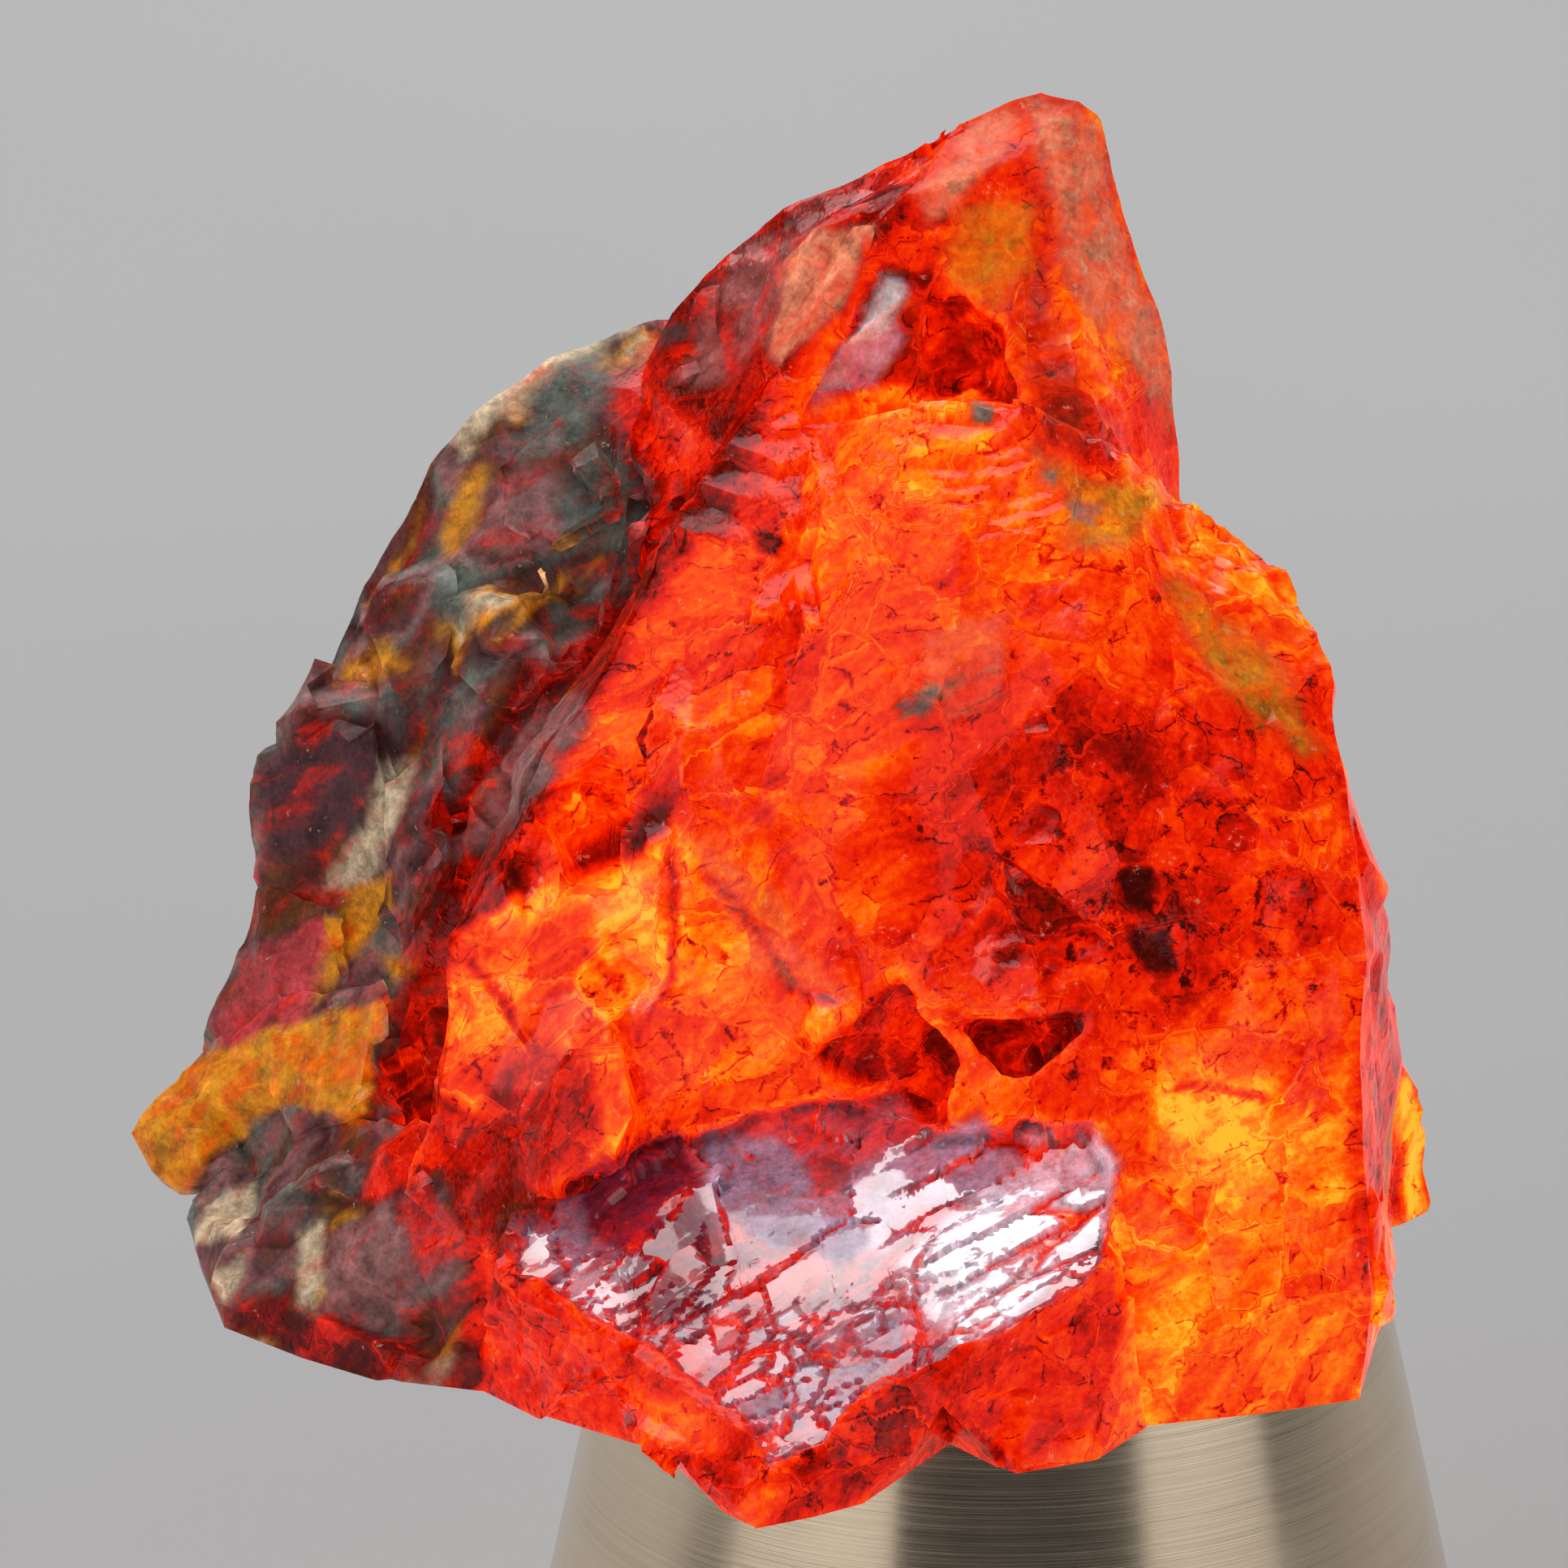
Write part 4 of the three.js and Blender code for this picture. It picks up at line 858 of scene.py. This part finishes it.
def light_inside(s, here, glow, facet, soot, fine, spots):
    """The light seen in the stone: veils, splinters, grain, dark inclusions and cracks.

    Gives its colour, and the veils, which run another way in each facet.
    """
    turned = s.node("VectorRotate", {"Vector": here, "Axis": (0.2, -0.94, 0.3),
                                     "Angle": s.between(facet, 0.0, 1.0, -0.9, 1.1)}).outputs[0]
    veils = s.noise(s.stretched(turned, (0.8, 0.8, 3.0), (0.0, 0.45, 0.0)), 0.9, 4, 0.6, 0.5)
    light = s.math("ADD", glow, s.between(veils, 0.34, 0.66, -0.13, 0.13))
    light = s.math("ADD", light, s.between(fine, 0.34, 0.66, -0.06, 0.06))
    bent = s.vector("MULTIPLY_ADD", s.noise(here, 1.4, 1, output="Color"), (0.5, 0.5, 0.5), turned)
    grain = {"Vector": s.stretched(bent, (1, 1, 2.4), (0.2, 0.6, 0.0)), "Scale": 0.8}
    to_crack = s.node("TexVoronoi", grain, feature="DISTANCE_TO_EDGE").outputs["Distance"]
    splinter = s.channels(s.node("TexVoronoi", grain).outputs["Color"])[0]
    light = s.math("ADD", light, s.between(splinter, 0.0, 1.0, -0.075, 0.075))
    crack = s.math("MULTIPLY", s.between(to_crack, 0.0, 0.03, 1.0, 0.0), s.between(spots, 0.5, 0.56))
    light = s.math("MULTIPLY_ADD", crack, -0.35, light)
    sooty = s.math("ADD", spots, s.math("MULTIPLY", soot, 0.1))
    light = s.math("MULTIPLY_ADD", s.between(sooty, 0.62, 0.7), -0.35, light)
    return s.ramp(light, *GLOW_COLOURS), veils


def stone_material():
    s = Shader("sphalerite_stone")
    here = s.millimetres()
    light, skin = s.attribute("light"), s.attribute("skin")
    glow, cover, shine = s.channels(light["Color"])
    facet, soot = light["Alpha"], skin["Alpha"]
    fine = s.noise(here, 4.2, 3, 0.72)
    spots = s.noise(here, 1.15, 4, 0.8)
    lit, veils = light_inside(s, here, glow, facet, soot, fine, spots)

    # The skin is mottled, and breaks up along the veils where it is thin.
    mottle = s.math("MULTIPLY", s.between(spots, 0.34, 0.66, 0.5, 1.5), s.between(fine, 0.3, 0.7, 0.8, 1.2))
    mottled = s.scaled(skin["Color"], mottle)
    matt = s.math("SUBTRACT", 1.0, shine)
    broken = s.math("MULTIPLY", s.between(veils, 0.35, 0.65, 0.4, -0.4), matt)
    cover = s.math("ADD", cover, s.math("MULTIPLY", s.between(cover, 0.0, 0.5), broken), clamp=True)

    # Pale dust lies where the noise is high; in the emission it is painted as faint pink glints.
    dust_and_glints = s.math("MULTIPLY", s.between(spots, 0.4, 0.35), s.between(fine, 0.56, 0.62))
    body = s.mix(s.between(fine, 0.3, 0.7), rgb(0.10, 0.002, 0.001), rgb(0.2, 0.008, 0.002))
    colour = s.mix(s.math("MULTIPLY", dust_and_glints, 0.6), s.mix(cover, body, mottled), rgb(0.62, 0.42, 0.34))
    # Where the skin covers the glow it glows itself, at about a third of its colour: painted light on the
    # skin.
    lit = s.mix(cover, lit, s.scaled(mottled, 0.36))
    lit = s.mix(s.math("MULTIPLY", dust_and_glints, 0.4), lit, rgb(0.3, 0.12, 0.08))

    rough = s.math("ADD", s.between(fine, 0.3, 0.7, 0.1, 0.22), s.math("MULTIPLY", cover, 0.22))
    rough = s.math("MULTIPLY_ADD", shine, -0.2, rough, clamp=True)
    ripple = s.noise(s.stretched(here, (1, 1, 0.4), (0.6, 0.2, 0.3)), 1.5, 2, 0.7)
    ripple = s.math("MULTIPLY", ripple, s.math("MULTIPLY_ADD", shine, -0.92, 1.0))
    return s.finish(Base_Color=colour, Roughness=rough, IOR=2.37, Specular_IOR_Level=0.05, Coat_Weight=shine,
                    Coat_IOR=3.2, Coat_Roughness=0.06, Emission_Color=lit, Emission_Strength=1.0,
                    Normal=s.bump(ripple, 0.3, 0.16))


def steel_material():
    """Steel brushed round its axis: rings far longer than they are high."""
    s = Shader("stand_steel")
    here = s.millimetres()
    rings = s.noise(s.stretched(here, (33.0, 33.0, 0.14)), 1.0, 4, 0.75)
    smudges = s.noise(here, 0.14, 3, 0.6, 0.5)
    colour = s.ramp(s.math("MULTIPLY_ADD", rings, 0.5, s.math("MULTIPLY", smudges, 0.5)),
                    (0.3, (0.62, 0.48, 0.34)), (0.7, (0.92, 0.76, 0.56)))
    rough = s.math("ADD", s.between(rings, 0.3, 0.7, 0.12, 0.2), s.between(smudges, 0.4, 0.7, 0.0, 0.08))
    return s.finish(Base_Color=colour, Metallic=1.0, Roughness=rough, Normal=s.bump(rings, 0.6, 0.01))


def floor_material():
    s = Shader("floor_pale")
    tint = s.noise(s.millimetres(), 0.01, 2, 0.6)
    colour = s.ramp(tint, (0.3, (0.5, 0.5, 0.51)), (0.7, (0.54, 0.54, 0.54)))
    return s.finish(Base_Color=colour, Roughness=0.8)


# The scene

def add_stone():
    points, faces, layers = stone_surface(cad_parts["sphalerite"])
    stone = mesh_object("stone", points, faces)
    paint_layer(stone.data, "light", layers["glow"], layers["cover"], layers["shine"], layers["facet"])
    paint_layer(stone.data, "skin", *layers["skin"].T, layers["soot"])
    stone.data.shade_smooth()
    stone.data.set_sharp_from_angle(angle=STONE_SHARP_ANGLE)
    stone.data.materials.append(stone_material())
    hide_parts("sphalerite")
    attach(stone, "root")


def add_stand():
    """The stand, turned round its axis, with a fine chamfer round the top and the foot."""
    rings = [(STAND_FOOT_RADIUS_MM - STAND_CHAMFER_MM, 0), (STAND_FOOT_RADIUS_MM, STAND_CHAMFER_MM),
             (STAND_TOP_RADIUS_MM, STAND_TOP_MM - STAND_CHAMFER_MM),
             (STAND_TOP_RADIUS_MM - STAND_CHAMFER_MM, STAND_TOP_MM)]
    points = [(0, 0, 0), (0, 0, STAND_TOP_MM)]
    for radius, z in rings:
        for k in range(STAND_SIDES):
            angle = 2 * math.pi * k / STAND_SIDES
            points.append((radius * math.cos(angle), radius * math.sin(angle), z))
    starts = [2 + ring * STAND_SIDES for ring in range(len(rings))]
    faces = []
    for k in range(STAND_SIDES):
        j = (k + 1) % STAND_SIDES
        for low, high in zip(starts, starts[1:]):
            faces.append((low + k, low + j, high + j, high + k))
        faces.append((0, starts[0] + j, starts[0] + k))
        faces.append((1, starts[-1] + k, starts[-1] + j))
    stand = mesh_object("stand_turned", np.array(points, float), faces)
    stand.data.shade_smooth()
    stand.data.set_sharp_from_angle(angle=STAND_SHARP_ANGLE)
    stand.data.materials.append(steel_material())
    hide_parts("stand")
    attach(stand, "root")


def add_floor():
    corners = [(-FLOOR_HALF_MM, FLOOR_FRONT_MM, 0), (FLOOR_HALF_MM, FLOOR_FRONT_MM, 0),
               (FLOOR_HALF_MM, FLOOR_BACK_MM, 0), (-FLOOR_HALF_MM, FLOOR_BACK_MM, 0)]
    floor = mesh_object("floor", np.array(corners, float), [(0, 1, 2, 3)])
    floor.data.materials.append(floor_material())


def add_softbox(name, target_mm, direction, distance_mm, size_mm, radiance):
    """A flat light that faces the target. Radiance is how bright it looks."""
    light = bpy.data.lights.new(name, "AREA")
    light.shape = "RECTANGLE"
    light.size, light.size_y = size_mm[0] * MM, size_mm[1] * MM
    light.energy = radiance * math.pi * light.size * light.size_y
    obj = bpy.data.objects.new(name, light)
    way = Vector(direction).normalized()
    obj.location = (Vector(target_mm) + way * distance_mm) * MM
    obj.rotation_euler = way.to_track_quat("Z", "Y").to_euler()
    bpy.context.scene.collection.objects.link(obj)


def add_lights():
    for name, settings in SOFTBOXES.items():
        add_softbox(name, **settings)
    for name, turn, width, radiance in STRIPS:
        way = (math.sin(math.radians(turn)), -math.cos(math.radians(turn)), STRIP_RISE)
        size = (width, STRIP_HEIGHT_MM)
        add_softbox("strip_" + name, STRIP_TARGET_MM, way, STRIP_DISTANCE_MM, size, radiance)
    world = bpy.data.worlds.new("studio")
    world.use_nodes = True
    background = world.node_tree.nodes["Background"].inputs
    background["Color"].default_value = STUDIO_COLOUR
    background["Strength"].default_value = STUDIO_STRENGTH
    bpy.context.scene.world = world


def add_camera():
    right, up = Vector((1, 0, 0)), Vector((0, EYE_SIN, EYE_COS))
    centre = Vector((0, 0, STONE_BASE_MM)) + right * VIEW_CENTRE_MM[0] + up * VIEW_CENTRE_MM[1]
    toward = Vector(TOWARD_EYE)
    camera = bpy.data.cameras.new("camera")
    camera.sensor_width = SENSOR_MM
    camera.lens = SENSOR_MM * CAMERA_DISTANCE_MM / VIEW_WIDTH_MM
    camera.clip_start, camera.clip_end = 0.01, 20
    obj = bpy.data.objects.new("camera", camera)
    obj.location = (centre + toward * CAMERA_DISTANCE_MM) * MM
    obj.rotation_euler = toward.to_track_quat("Z", "Y").to_euler()
    bpy.context.scene.collection.objects.link(obj)
    bpy.context.scene.camera = obj


add_stone()
add_stand()
add_floor()
add_lights()
add_camera()
bpy.context.scene.view_settings.view_transform = "Standard"
